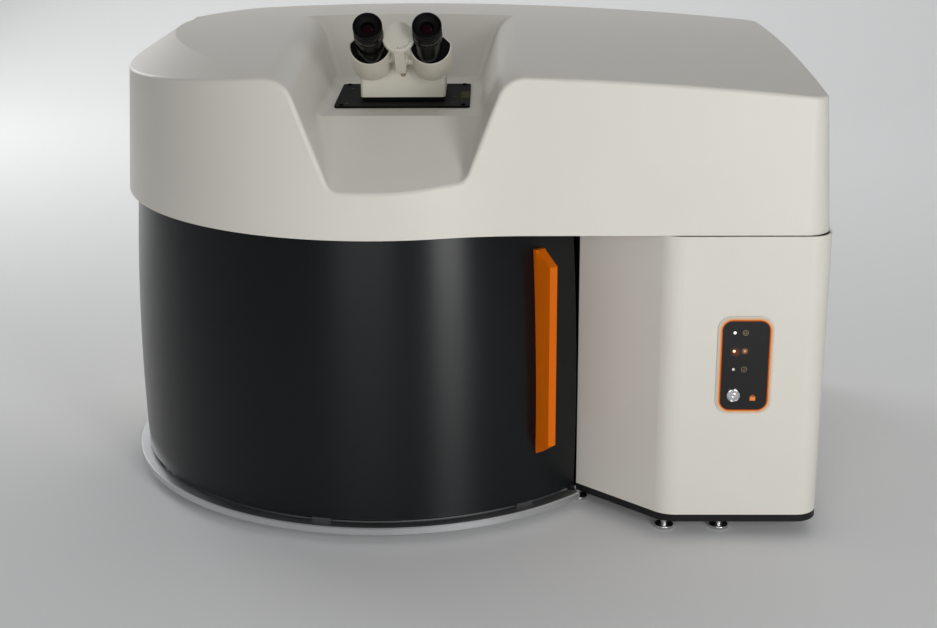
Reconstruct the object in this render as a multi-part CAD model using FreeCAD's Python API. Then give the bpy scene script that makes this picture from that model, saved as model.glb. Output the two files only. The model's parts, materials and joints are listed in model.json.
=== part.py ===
# Raman microscope: a round-fronted bench instrument. A drum-shaped sample chamber with a
# sliding curved door stands on the left, an optics cabinet on the right, and one moulded
# hood with a recess for the binocular covers both.
# Millimetres, +Z up, +X to the viewer's right, the front faces -Y, origin under the middle.
import FreeCAD
import Part
import math
import os

V = FreeCAD.Vector

# Overall plan
half_width = 485.0
half_depth = 340.0
track_r = 381.0
drum_x = track_r - half_width
drum_y = track_r - half_depth
run_gap = 0.3
shaft_fit = 0.05
seam = 1.0

# Base, feet and door track
base_bottom = 21.4
base_t = 10.0
base_top = base_bottom + base_t
drum_r = 352.0
foot_pad_r = 13.0
foot_pad_h = 5.0
foot_stud_r = 5.0
foot_stud_engage = 7.0
jam_nut_flats = 17.0
jam_nut_h = 5.0
front_foot_y = -279.0
rear_foot_y = 292.0
right_foot_x = 357.0
mid_foot_x = 283.0
inner_foot_x = 171.0
left_foot_x = -330.0
corner_foot_x = 437.0
inner_foot_y = -184.0
drum_foot_front_y = -100.0
drum_foot_rear_y = 180.0
foot_clear = 2.0
track_bottom = 15.4
track_top = 25.0
track_flange_in = 330.0
track_start_az = -141.0
track_end_az = 46.0
groove_r = 361.5
groove_w = 6.0
groove_depth = 6.0

# Door
door_bottom = 31.0
door_top = 424.5
door_r = 370.0
door_belly_z = 155.0
door_belly_r = 3150.0
door_wall = 3.5
door_left_az = -81.5
door_right_az = 46.5
glide_az = (-70.0, -12.0, 33.0)
glide_w = 26.0
glide_h = 30.0
glide_depth = 9.0
handle_az = 36.2
handle_bottom = 99.0
handle_top = 385.0
handle_w = 15.5
handle_ridge_w = 12.0
handle_reach = 25.0
handle_end = 18.0

# Fixed drum wall
shell_wall = 3.0
shell_start_az = -78.0
rear_panel_y = 336.0
panel_t = 3.0

# Hood
hood_bottom = 417.0
hood_r = 371.6
bow_r = 470.0
hood_front_y = -307.0
hood_right_x = 482.5
corner_r = 35.0
rear_blend_r = 70.0
draft = 0.0635
hood_wall = 4.5
crease_r = 5.0
dome_r = 5000.0
dome_x = -71.0
dome_y = 87.0
dome_z = 634.0
dome_sweep = 400.0
recess_sweep = 430.0
bevel_apex = V(drum_x - 181.0, drum_y + 215.0, dome_z + 67.0)
bevel_half_angle = 62.5
bevel_lean_x = 0.188
bevel_lean_y = -0.338
bevel_end_y = 225.0
bevel_end_z = 619.0
bevel_end_rise = 0.7
recess_half_w = 82.7
recess_rim_z = 479.0
recess_lean = 0.398
shoulder_r = 36.0
recess_fillet = 12.0
apron_y = -327.0
apron_z = 476.0
shelf_front_y = -197.0
shelf_z = 550.0
shelf_back_y = 76.0
recess_back_y = 162.0
recess_back_z = 633.0

# Cabinet
cabinet_top = hood_bottom - seam
cabinet_wall = 3.0
junction_x = 167.0
junction_y = -205.0
angle_end_x = 279.0
cabinet_front_y = -310.0
angle_corner_r = 40.0
cabinet_corner_r = 30.0

# Deck and pillars
deck_bottom = 420.0
deck_t = 12.0
deck_top = deck_bottom + deck_t
deck_edge_gap = 0.5
deck_groove_r = 357.5
deck_groove_w = 9.0
deck_groove_depth = 6.0
pillar_r = 11.0
bracket_l = 40.0
bracket_h = 24.0
bracket_t = 6.0
bracket_reach = 60.0
bracket_az = (-20.0, -65.0, -110.0)
bracket_y = (-180.0, 180.0)

# Microscope stand and optical axis
axis_x = dome_x
axis_y = -58.0
stand_foot_w = 180.0
stand_foot_t = 18.0
stand_foot_front = 82.0
column_w = 90.0
column_front_y = 100.0
column_depth = 70.0
arm_bottom = 352.0
arm_top = 400.0
arm_nose = 50.0
stand_fillet = 8.0
rail_w = 10.0
rail_depth = 8.0
rail_spacing = 50.0
rail_z0 = 110.0
rail_z1 = 310.0

# Stage
sample_z = 237.0
slide_glass_t = 1.0
insert_t = 1.4
stage_plate_t = 8.0
stage_rail_w = 8.0
stage_rail_h = 4.0
stage_x_w = 180.0
stage_x_d = 110.0
stage_y_w = 196.0
stage_y_d = 160.0
carriage_w = 84.0
carriage_t = 27.0
carriage_h = 130.0
carriage_clear = 1.0
shelf_t = 12.0
holder_w = 104.0
holder_d = 52.0
clip_l = 11.0
clip_w = 6.0
clip_h = 1.6
clip_y = -9.0
slide_l = 76.0
slide_w = 26.0

# Nosepiece
turret_tilt = 20.0
working_gap = 6.0
shoulder_dist = 92.0
objective_r = 13.5
objective_neck = 0.8
objective_tips = (4.0, 7.0, 6.0, 5.0, 3.5)
objective_lens = (52.0, 34.0, 40.0, 46.0, 50.0)
turret_r = 50.0
turret_back = 62.0
turret_shaft_r = 8.0
turret_mount_r = 44.0

# Head above the deck
block_w = 80.0
block_front = 40.0
block_back = 110.0
block_top = 470.0
combiner_w = 70.0
combiner_d = 80.0
combiner_top = 520.0
head_tube_r = 30.0
head_tube_wall = 4.0
head_hole_r = 34.0
beam_z = 495.0
beam_r = 8.0
wheel_x = 20.0
wheel_r = 42.0
wheel_t = 6.0
wheel_pitch_r = 30.0
wheel_filters_n = 6
wheel_filter_r = 9.0
wheel_shaft_r = 4.0
wheel_shaft_l = 20.0
motor_r = 15.0
motor_l = 30.0
motor_gap = 4.0
motor_post_t = 12.0
motor_post_w = 28.0
filter_t = 3.0
periscope_x = 300.0
periscope_hole_r = 20.0
mirror_half = 18.0
mirror_depth = 30.0
mirror_r = 12.0
mirror_t = 3.0
post_w = 16.0

# Binocular
eye_y = -227.0
eye_z = 672.0
eye_half_gap = 37.75
tube_rise = 35.0
disc_back = 30.5
disc_r = 20.8
disc_t = 7.0
housing_front = 77.0
housing_depth = 48.0
housing_x = 39.8
housing_r = 27.7
housing_mid = 9.5
housing_side = 3.0
housing_bevel_x = 18.0
housing_top = 23.5
housing_lip = 1.7
housing_pocket = 2.5
housing_face_t = 2.0
hinge_shaft_r = 6.0
shaft_tail = 5.0
web_seat = 28.0
hinge_ear_r = 10.0
ear_t = 6.0
tube_r = 15.6
tube_wall = 2.5
tube_front = 30.0
eyepiece_r = 19.2
cup_len = 10.0
cup_wall = 2.4
lens_r = 12.0
ring_back = 60.0
ring_len = 10.0
ring_wall = 2.2
binocular_block_w = 115.0
rear_block_in = 8.0
block_front_y = -108.0
block_depth = 100.0
riser_bottom = 553.2
riser_top = 558.0
block_top_z = 584.0
web_w = 13.0
clamp_screw_x = 1.0
clamp_screw_up = 5.5
clamp_screw_r = 3.2
clamp_screw_h = 1.6
slot_plate_w = 182.0
slot_plate_d = 168.0
slot_plate_front_y = -145.0
slot_plate_t = 3.0
plate_screw_r = 3.0
plate_screw_inset = 9.0

# Optics cabinet contents
cabinet_inner_gap = 8.0
optics_shelf_z = 250.0
optics_shelf_t = 12.0
standoff_r = 10.0
standoff_front_y = -200.0
standoff_left_y = -150.0
standoff_rear_y = 252.0
standoff_left_in = 45.0
standoff_rear_in = 30.0
standoff_right_in = 30.0
fan_bay_w = 150.0
fan_hub_t = 6.0
case_x0 = 192.0
case_x1 = 446.0
case_y0 = -20.0
case_y1 = 300.0
case_h = 138.0
case_wall = 5.0
case_cover_t = 5.0
slit_block_w = 32.0
slit_block_t = 6.0
slit_w = 1.2
slit_h = 12.0
snout_r = 14.0
grating_boss_r = 16.0
grating_boss_h = 14.0
optics_z = 330.0
grating_x = 262.0
grating_y = 90.0
grating_shaft_r = 6.0
mirror_block_w = 60.0
mirror_block_d = 18.0
mirror_focus_r = 160.0
grating_w = 44.0
grating_h = 40.0
grating_t = 4.0
detector_x = 405.0
detector_w = 70.0
detector_d = 90.0
detector_h = 80.0
laser_in = 45.0
laser_y = -120.0
laser_w = 110.0
laser_l = 330.0
laser_h = 72.0
laser_fins = 9
laser_fin_pitch = 11.0
laser_fin_gap = 5.0
laser_fin_h = 22.0
laser_fin_end = 10.0
supply_w = 140.0
supply_d = 190.0
supply_h = 78.0
board_t = 1.6
board_w = 150.0
board_d = 200.0
board_z = 150.0
board_y = -156.0
board_inset = 8.0
board_post_r = 4.0
bay_clear = 12.0
supply_y = 45.0

# Rear panel fittings
fan_x = 395.0
fan_z = 190.0
fan_frame_w = 119.0
fan_frame_t = 25.0
fan_bore_r = 56.0
fan_blade_r = 53.0
fan_hub_r = 20.0
fan_blades = 7
fan_shaft_r = 3.0
fan_strut_w = 8.0
inlet_x = 240.0
inlet_z = 84.0
inlet_w = 28.0
inlet_h = 32.0
inlet_depth = 22.0
inlet_well_w = 22.0
inlet_well_h = 16.0
socket_back = 4.0
pin_w = 2.0
pin_h = 5.0
pin_places = ((-7.0, -2.0), (0.0, 3.0), (7.0, -2.0))
rocker_w = 14.0
rocker_h = 22.0
rocker_x = 276.0
rocker_rim = 2.0
rocker_gap = 0.5
rocker_pin_r = 1.5
rocker_pivot_in = 5.0
rocker_tip = 3.0
socket_depth = 14.0
port_x = (216.0, 246.0, 276.0, 306.0)
port_z = 150.0
port_w = 15.0
port_h = 13.0
port_wall = 2.0

# Status panel and lock button
status_x = 376.8
status_z = 243.8
status_w = 73.0
status_h = 133.8
status_r = 18.0
bezel_w = 1.5
trim_w = 4.8
status_proud = 2.0
status_housing_depth = 22.0
status_housing_margin = 5.0
lamp_space = 8.0
trim_proud = 0.4
lamp_r = 2.2
lamp_t = 2.0
lamp_x = 362.2
lamp_rows_z = (288.7, 263.7, 238.7)
button_x = 363.3
button_z = 203.5
button_r = 8.8
button_proud = 3.0
button_h = 7.5
button_stem_r = 3.0
button_stem_l = 22.0

# Door lock
lock_az = 40.0
lock_r = 343.0
bolt_r = 4.0
bolt_rest_z = 401.5
bolt_fit = 0.6
strike_top = 400.0
strike_t = 3.0
strike_w = 28.0
strike_reach = 9.0
solenoid_r = 9.0
solenoid_up = 2.5


def box(x0, x1, y0, y1, z0, z1):
    return Part.makeBox(x1 - x0, y1 - y0, z1 - z0, V(x0, y0, z0))


def cyl(r, start, length, axis=V(0, 0, 1)):
    return Part.makeCylinder(r, length, start, axis)


def ring(r_out, r_in, start, length, axis=V(0, 0, 1)):
    return cyl(r_out, start, length, axis).cut(cyl(r_in, start, length, axis))


def fuse(shapes):
    whole = shapes[0]
    for extra in shapes[1:]:
        whole = whole.fuse(extra)
    return whole.removeSplitter()


def group(shapes):
    return Part.makeCompound(shapes)


def prism(points, z0, z1):
    corners = [V(x, y, z0) for x, y in points]
    face = Part.Face(Part.makePolygon(corners + [corners[0]]))
    return face.extrude(V(0, 0, z1 - z0))


def drum_point(r, az, z):
    """A point at radius r from the drum axis; azimuth 0 is the front, positive to the right."""
    a = math.radians(az)
    return V(drum_x + r * math.sin(a), drum_y - r * math.cos(a), z)


def spin(profile, az0, az1):
    """Revolve a closed list of (radius, z) points about the drum axis between two azimuths."""
    a = math.radians(az0)
    corners = [V(drum_x + r * math.sin(a), drum_y - r * math.cos(a), z) for r, z in profile]
    face = Part.Face(Part.makePolygon(corners + [corners[0]]))
    return face.revolve(V(drum_x, drum_y, 0), V(0, 0, 1), az1 - az0)


def at_azimuth(shape, az):
    """Turn a shape that was drawn at azimuth 0 to its own azimuth."""
    turned = shape.copy()
    turned.rotate(V(drum_x, drum_y, 0), V(0, 0, 1), az)
    return turned


def rounded_slab(cx, cz, w, h, r, y0, y1):
    """A plate with rounded corners that stands in the XZ plane between two Y values."""
    slab = box(cx - w / 2, cx + w / 2, y0, y1, cz - h / 2, cz + h / 2)
    upright = [e for e in slab.Edges if e.BoundBox.YLength > (y1 - y0) * 0.99]
    return slab.makeFillet(r, upright)


def cabinet_corners(inset):
    """Outer corners of the cabinet plan, moved inwards on its free sides."""
    run_x = angle_end_x - junction_x
    run_y = cabinet_front_y - junction_y
    length = math.hypot(run_x, run_y)
    shift = inset * length / run_x
    start_y = junction_y + shift
    front = cabinet_front_y + inset
    turn_x = junction_x + (front - start_y) * run_x / run_y
    right = half_width - inset
    return start_y, turn_x, front, right


def cabinet_prism(inset, z0, z1, rear_y):
    start_y, turn_x, front, right = cabinet_corners(inset)
    plan = [(junction_x, start_y), (turn_x, front), (right, front), (right, rear_y), (junction_x, rear_y)]
    solid = prism(plan, z0, z1)
    turn = [e for e in solid.Edges if upright_at(e, turn_x, front)]
    solid = solid.makeFillet(angle_corner_r - inset, turn)
    corner = [e for e in solid.Edges if upright_at(e, right, front)]
    return solid.makeFillet(cabinet_corner_r - inset, corner)


def upright_at(edge, x, y):
    b = edge.BoundBox
    return b.ZLength > 1 and abs(b.XMin - x) < 0.01 and abs(b.XMax - x) < 0.01 and abs(b.YMin - y) < 0.01


# Base, feet, track and pillars
def foot_places():
    return [
        (mid_foot_x, front_foot_y),
        (right_foot_x, front_foot_y),
        (inner_foot_x, inner_foot_y),
        (corner_foot_x, rear_foot_y),
        (inner_foot_x, rear_foot_y),
        (left_foot_x, drum_foot_front_y),
        (left_foot_x, drum_foot_rear_y),
    ]


def base_plate():
    disc = cyl(drum_r, V(drum_x, drum_y, base_bottom), base_t)
    disc = disc.common(box(-half_width, half_width, -half_depth, rear_panel_y, 0, base_top))
    corner = box(drum_x, junction_x + 1, drum_y, rear_panel_y, base_bottom, base_top)
    plate = fuse([cabinet_prism(0.0, base_bottom, base_top, rear_panel_y), disc, corner])
    for x, y in foot_places():
        plate = plate.cut(cyl(foot_stud_r + shaft_fit, V(x, y, base_bottom - 1), base_t + 2))
    return plate


def levelling_feet():
    feet = jam_nuts()
    for x, y in foot_places():
        pad = cyl(foot_pad_r, V(x, y, 0), foot_pad_h)
        rim = [e for e in pad.Edges if abs(e.BoundBox.ZMin - foot_pad_h) < 0.01]
        pad = pad.makeFillet(foot_pad_h * 0.3, rim)
        stud = cyl(foot_stud_r, V(x, y, foot_pad_h / 2), base_bottom + foot_stud_engage - foot_pad_h / 2)
        feet.append(fuse([pad, stud]))
    return group(feet)


def jam_nuts():
    nuts = []
    r = jam_nut_flats / math.sqrt(3)
    for x, y in foot_places():
        corners = [(x + r * math.cos(math.radians(60 * k)), y + r * math.sin(math.radians(60 * k)))
                   for k in range(6)]
        nut = prism(corners, base_bottom - jam_nut_h, base_bottom)
        bore = cyl(foot_stud_r + shaft_fit, V(x, y, base_bottom - jam_nut_h - 1), jam_nut_h + 2)
        nuts.append(nut.cut(bore))
    return nuts


def door_track():
    g0 = groove_r - groove_w / 2
    g1 = groove_r + groove_w / 2
    g_floor = track_top - groove_depth
    lip = drum_r + run_gap
    profile = [
        (track_flange_in, track_bottom),
        (track_r, track_bottom),
        (track_r, track_top - 1.5),
        (track_r - 1.5, track_top),
        (g1, track_top),
        (g1, g_floor),
        (g0, g_floor),
        (g0, track_top),
        (lip, track_top),
        (lip, base_bottom),
        (track_flange_in, base_bottom),
    ]
    track = spin(profile, track_start_az, track_end_az)
    for x, y in foot_places():
        track = track.cut(cyl(foot_pad_r + foot_clear, V(x, y, 0), base_bottom))
    return track


def pillar_places():
    left = drum_point(drum_r - 27.0, -100.0, 0)
    rear = drum_point(drum_r - 27.0, -140.0, 0)
    return [
        (left.x, left.y),
        (rear.x, rear.y),
        (axis_x + 60.0, rear_foot_y + 20.0),
        (junction_x + 25.0, rear_foot_y + 24.0),
        (junction_x + 35.0, junction_y + 10.0),
        (half_width - 25.0, cabinet_front_y + 35.0),
        (half_width - 19.0, rear_foot_y + 8.0),
    ]


def deck_pillars():
    return group([cyl(pillar_r, V(x, y, base_top), deck_bottom - base_top) for x, y in pillar_places()])


# Hood
def hood_plan(inset, z):
    """One closed wire of the hood's plan; every arc keeps its centre when the plan is inset."""
    r = hood_r - inset
    bow_y = hood_front_y - bow_r
    bow_x = drum_x + math.sqrt((hood_r + bow_r) ** 2 - (drum_y - bow_y) ** 2)
    dx = bow_x - drum_x
    dy = bow_y - drum_y
    reach = math.hypot(dx, dy)
    tangent = V(drum_x + dx / reach * r, drum_y + dy / reach * r, z)
    bow = bow_r + inset
    bow_mid_angle = (math.pi / 2 + math.atan2(-dy, -dx)) / 2
    bow_mid = V(bow_x + bow * math.cos(bow_mid_angle), bow_y + bow * math.sin(bow_mid_angle), z)
    front = hood_front_y + inset
    right = hood_right_x - inset
    rear = half_depth - inset
    c = corner_r - inset
    q = math.sqrt(0.5) * c
    cx = hood_right_x - corner_r
    front_cy = hood_front_y + corner_r
    rear_cy = half_depth - corner_r
    blend_y = half_depth - rear_blend_r
    blend_reach = hood_r - rear_blend_r
    blend_x = drum_x - math.sqrt(blend_reach ** 2 - (blend_y - drum_y) ** 2)
    ux = (blend_x - drum_x) / blend_reach
    uy = (blend_y - drum_y) / blend_reach
    drum_end = V(drum_x + ux * r, drum_y + uy * r, z)
    blend = rear_blend_r - inset
    blend_angle = (math.pi / 2 + math.atan2(uy, ux)) / 2
    blend_mid = V(blend_x + blend * math.cos(blend_angle), blend_y + blend * math.sin(blend_angle), z)
    left_mid = drum_point(r, -110.0, z)
    return Part.Wire([
        Part.Arc(tangent, bow_mid, V(bow_x, front, z)).toShape(),
        Part.makeLine(V(bow_x, front, z), V(cx, front, z)),
        Part.Arc(V(cx, front, z), V(cx + q, front_cy - q, z), V(right, front_cy, z)).toShape(),
        Part.makeLine(V(right, front_cy, z), V(right, rear_cy, z)),
        Part.Arc(V(right, rear_cy, z), V(cx + q, rear_cy + q, z), V(cx, rear, z)).toShape(),
        Part.makeLine(V(cx, rear, z), V(blend_x, rear, z)),
        Part.Arc(V(blend_x, rear, z), blend_mid, drum_end).toShape(),
        Part.Arc(drum_end, left_mid, tangent).toShape(),
    ])


def drafted(inset, z0, z1):
    """The hood's wall form between two heights, leaning inwards as it rises."""
    low = hood_plan(inset + draft * (z0 - hood_bottom), z0)
    high = hood_plan(inset + draft * (z1 - hood_bottom), z1)
    return Part.makeLoft([low, high], True, True)


def bevel_cutter(inset):
    """What the cone-shaped bevel takes off the roof's left shoulder."""
    down = V(math.sin(bevel_lean_x), math.sin(bevel_lean_y), -1.0)
    down.normalize()
    half = math.radians(bevel_half_angle)
    apex = bevel_apex + down * (inset / math.sin(half))
    height = dome_z + 66.0
    cone = Part.makeCone(0, height * math.tan(half), height, apex, down)
    cone.rotate(apex, down, 150)
    left = drum_x - hood_r - 200.0
    reach = hood_r + 178.4
    region = box(left, left + reach, drum_y - 520.0, drum_y + 290.0, dome_z - 134.0, dome_z + 66.0)
    fore = -300.0
    aft = 110.0
    z_end = bevel_end_z - inset
    ramp = [
        V(left - 1, bevel_end_y + fore, z_end + fore * bevel_end_rise),
        V(left - 1, bevel_end_y + aft, z_end + aft * bevel_end_rise),
        V(left - 1, bevel_end_y + aft, 300.0),
        V(left - 1, bevel_end_y + fore, 300.0),
    ]
    ramp_solid = Part.Face(Part.makePolygon(ramp + [ramp[0]])).extrude(V(reach + 2, 0, 0))
    return region.cut(cone).cut(ramp_solid)


def recess_cross_section(inset):
    """The recess seen from the front, at the top of the dome: leaning sides and round shoulders."""
    sr = shoulder_r - inset
    roof = dome_r - inset
    centre_z = dome_z - dome_r
    fall = dome_r - math.sqrt(dome_r ** 2 - (apron_y - dome_y) ** 2)
    lean_len = math.hypot(1, recess_lean)

    def side(z):
        return recess_half_w + recess_lean * (z - recess_rim_z - fall) + inset * lean_len

    low = apron_z
    high = dome_z
    for _ in range(50):
        touch_z = (low + high) / 2
        cx = side(touch_z) + sr / lean_len
        cz = touch_z - recess_lean * sr / lean_len
        if math.hypot(cx, cz - centre_z) > roof - sr:
            high = touch_z
        else:
            low = touch_z
    scale = roof / math.hypot(cx, cz - centre_z)
    top_x = cx * scale
    top_z = centre_z + (cz - centre_z) * scale
    a_side = math.atan2(touch_z - cz, side(touch_z) - cx) % (2 * math.pi)
    a_mid = (a_side + math.atan2(top_z - cz, top_x - cx)) / 2
    mid = (cx + sr * math.cos(a_mid), cz + sr * math.sin(a_mid))
    bottom_z = apron_z - 40.0
    lid_z = dome_z + 70.0
    lid_x = top_x + 0.1 * (lid_z - top_z)

    def at(x, z):
        return V(axis_x + x, dome_y, z)

    edges = []
    for s in (1, -1):
        edges.append(Part.makeLine(at(s * side(bottom_z), bottom_z), at(s * side(touch_z), touch_z)))
        shoulder = Part.Arc(at(s * side(touch_z), touch_z), at(s * mid[0], mid[1]), at(s * top_x, top_z))
        edges.append(shoulder.toShape())
        edges.append(Part.makeLine(at(s * top_x, top_z), at(s * lid_x, lid_z)))
    edges.append(Part.makeLine(at(-side(bottom_z), bottom_z), at(side(bottom_z), bottom_z)))
    edges.append(Part.makeLine(at(-lid_x, lid_z), at(lid_x, lid_z)))
    return Part.Face(Part.Wire(Part.__sortEdges__(edges)))


def recess_side_section(inset):
    """The recess seen from the side: sloping apron, level shelf and sloping back wall."""
    apron = math.atan2(shelf_z - apron_z, shelf_front_y - apron_y)
    back = math.atan2(recess_back_z - shelf_z, recess_back_y - shelf_back_y)
    floor = shelf_z - inset
    front_y = shelf_front_y + inset * math.tan(apron / 2)
    rear_y = shelf_back_y + inset * math.tan(back / 2)
    y_low = apron_y - 95.0
    z_high = dome_z + 90.0
    x0 = axis_x - recess_sweep
    points = [
        V(x0, y_low, floor - (front_y - y_low) * math.tan(apron)),
        V(x0, front_y, floor),
        V(x0, rear_y, floor),
        V(x0, rear_y + (z_high - floor) / math.tan(back), z_high),
        V(x0, y_low, z_high),
    ]
    return Part.Face(Part.makePolygon(points + [points[0]])).extrude(V(2 * recess_sweep, 0, 0))


def recess_cutter(inset):
    """The recess as one solid, with its inside corners rounded."""
    swing = 8.0
    centre = V(0, dome_y, dome_z - dome_r)
    section = recess_cross_section(inset)
    section.rotate(centre, V(1, 0, 0), swing)
    swept = section.revolve(centre, V(1, 0, 0), -2 * swing)
    solid = swept.common(recess_side_section(inset))
    floor = shelf_z - inset
    rounded = []
    for e in solid.Edges:
        b = e.BoundBox
        middle = e.valueAt((e.FirstParameter + e.LastParameter) / 2)
        back_line = b.XLength > 100 and abs(middle.z - floor) < 0.5 and middle.y > 0
        along = b.XLength < 60 and b.ZMax < dome_z + 6 and b.YMax < recess_back_y - 12
        along = along and b.YLength > 1 and not isinstance(e.Curve, Part.Circle)
        if back_line or along:
            rounded.append(e)
    return solid.makeFillet(recess_fillet + inset, rounded)


def dome_tool(inset):
    """Everything under the roof's shallow dome, swept about a level axis far below."""
    swing = 8.0
    roof = dome_r - inset
    centre = V(dome_x, dome_y, dome_z - dome_r)
    side = half_width * 1.5
    edge_z = math.sqrt(roof ** 2 - side ** 2)
    low_z = dome_r - dome_sweep
    left = centre + V(-side, 0, edge_z)
    right = centre + V(side, 0, edge_z)
    wire = Part.Wire([
        Part.Arc(left, centre + V(0, 0, roof), right).toShape(),
        Part.makeLine(right, centre + V(side, 0, low_z)),
        Part.makeLine(centre + V(side, 0, low_z), centre + V(-side, 0, low_z)),
        Part.makeLine(centre + V(-side, 0, low_z), left),
    ])
    section = Part.Face(wire)
    section.rotate(centre, V(1, 0, 0), swing)
    return section.revolve(centre, V(1, 0, 0), -2 * swing)


def hood_form(inset, z0):
    body = drafted(inset, z0, dome_z + 26.0).common(dome_tool(inset))
    return body.cut(bevel_cutter(inset)).cut(recess_cutter(inset))


def hood_inner():
    return hood_form(hood_wall, hood_bottom - 10.0)


def crease_angle(shape, edge):
    """Degrees between the two faces that meet at an edge, measured at its middle."""
    middle = edge.valueAt((edge.FirstParameter + edge.LastParameter) / 2)
    normals = []
    for face in shape.Faces:
        if any(other.isSame(edge) for other in face.Edges):
            u, v = face.Surface.parameter(middle)
            normals.append(face.normalAt(u, v))
    if len(normals) != 2:
        return 0.0
    return math.degrees(normals[0].getAngle(normals[1]))


def hood_shell():
    outer = hood_form(0.0, hood_bottom)
    outer = outer.Solids[0]
    wanted = []
    for e in outer.Edges:
        b = e.BoundBox
        if b.YMin > recess_back_y - recess_fillet and b.YMax < recess_back_y + recess_fillet:
            continue
        roof_line = b.ZMin > 585 and crease_angle(outer, e) > 8
        rim_line = b.ZMin > apron_z - 5 and b.YMax < apron_y + 40 and crease_angle(outer, e) > 8
        if roof_line or rim_line:
            wanted.append(e.BoundBox.Center)
    hollow = outer.cut(hood_inner())
    hollow = hollow.cut(cyl(head_hole_r, V(axis_x, axis_y, shelf_z - 20), 40)).Solids[0]
    edges = [e for e in hollow.Edges if any(e.BoundBox.Center.distanceToPoint(c) < 0.01 for c in wanted)]
    return hollow.makeFillet(crease_r, edges)


def slot_plate():
    x0 = axis_x - slot_plate_w / 2
    plate = box(x0, x0 + slot_plate_w, slot_plate_front_y, slot_plate_front_y + slot_plate_d,
                shelf_z, shelf_z + slot_plate_t)
    upright = [e for e in plate.Edges if e.BoundBox.ZLength > slot_plate_t * 0.9]
    plate = plate.makeFillet(6.0, upright)
    plate = plate.cut(cyl(head_hole_r, V(axis_x, axis_y, shelf_z - 1), slot_plate_t + 2))
    return group([plate] + slot_plate_screws())


def slot_plate_screws():
    z = shelf_z + slot_plate_t
    screws = []
    for sx in (-1, 1):
        for along in (plate_screw_inset, slot_plate_d - plate_screw_inset):
            y = slot_plate_front_y + along
            x = axis_x + sx * (slot_plate_w / 2 - plate_screw_inset)
            head = cyl(plate_screw_r, V(x, y, z), 1.6)
            screws.append(head.cut(cyl(plate_screw_r * 0.45, V(x, y, z + 0.8), 1.0)))
    return screws


def upper_deck():
    lean = draft * (deck_top - hood_bottom)
    plan = hood_plan(hood_wall + lean + deck_edge_gap, deck_bottom)
    deck = Part.Face(plan).extrude(V(0, 0, deck_t))
    g0 = deck_groove_r - deck_groove_w / 2
    g1 = deck_groove_r + deck_groove_w / 2
    groove = [(g0, deck_bottom - 1), (g1, deck_bottom - 1), (g1, deck_bottom + deck_groove_depth),
              (g0, deck_bottom + deck_groove_depth)]
    deck = deck.cut(spin(groove, track_start_az - 2, door_right_az + 3))
    gap = 3.0
    hole = box(axis_x - block_w / 2 - gap, axis_x + block_w / 2 + gap,
               axis_y - block_front - gap, axis_y + block_back + gap, deck_bottom - 1, deck_top + 1)
    deck = deck.cut(hole)
    return deck.cut(cyl(periscope_hole_r, V(periscope_x, axis_y, deck_bottom - 1), deck_t + 2))


def hood_brackets():
    """Angle brackets that stand on the deck and carry the hood's wall."""
    inner = hood_inner()
    half = bracket_l / 2
    top = deck_top + bracket_h
    blanks = []
    for az in bracket_az:
        start = drum_y - hood_r
        blank = box(drum_x - half, drum_x + half, start, start + bracket_reach, deck_top, top)
        blanks.append(at_azimuth(blank, az))
    for y in bracket_y:
        blanks.append(box(hood_right_x - bracket_reach, hood_right_x, y - half, y + half, deck_top, top))
    keep = hood_form(hood_wall + bracket_t, hood_bottom - 10.0)
    upper = box(-half_width, half_width, -half_depth, half_depth, deck_top + bracket_t, top + 1)
    spare = keep.common(upper)
    return group([blank.common(inner).cut(spare).Solids[0] for blank in blanks])


# Door
def door_radius(z):
    return door_r - (z - door_belly_z) ** 2 / (2 * door_belly_r)


def door_body(z0, z1, inset, az0, az1, r_in=None):
    """A curved wall between two azimuths: barrel-shaped outside, with the same barrel inside."""
    a = math.radians(az0)

    def at(r, z):
        return V(drum_x + r * math.sin(a), drum_y - r * math.cos(a), z)

    zm = (z0 + z1) / 2
    outer = Part.Arc(at(door_radius(z0) - inset, z0), at(door_radius(zm) - inset, zm),
                     at(door_radius(z1) - inset, z1)).toShape()
    if r_in is None:
        t = inset + door_wall
        inner = Part.Arc(at(door_radius(z0) - t, z0), at(door_radius(zm) - t, zm),
                         at(door_radius(z1) - t, z1)).toShape()
        ends = (at(door_radius(z0) - t, z0), at(door_radius(z1) - t, z1))
    else:
        inner = Part.makeLine(at(r_in, z0), at(r_in, z1))
        ends = (at(r_in, z0), at(r_in, z1))
    low = Part.makeLine(ends[0], at(door_radius(z0) - inset, z0))
    high = Part.makeLine(at(door_radius(z1) - inset, z1), ends[1])
    face = Part.Face(Part.Wire(Part.__sortEdges__([outer, inner, low, high])))
    return face.revolve(V(drum_x, drum_y, 0), V(0, 0, 1), az1 - az0)


def door_skin():
    return door_body(door_bottom, door_top, 0.0, door_left_az, door_right_az)


def door_glides():
    """Three blocks on the door's inner face, each with a tongue that runs in the track's groove."""
    half = math.degrees(glide_w / 2 / groove_r)
    skin_r = door_radius(door_bottom) - door_wall
    r0 = groove_r - groove_w / 2 + run_gap
    r1 = groove_r + groove_w / 2 - run_gap
    low = track_top - groove_depth + run_gap
    tongue = [(r0, low), (r1, low), (min(r1, skin_r), door_bottom), (r0, door_bottom)]
    glides = []
    for az in glide_az:
        block = door_body(door_bottom, door_bottom + glide_h, door_wall, az - half, az + half,
                          skin_r - glide_depth)
        glides.append(fuse([block, spin(tongue, az - half, az + half)]))
    return glides


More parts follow.
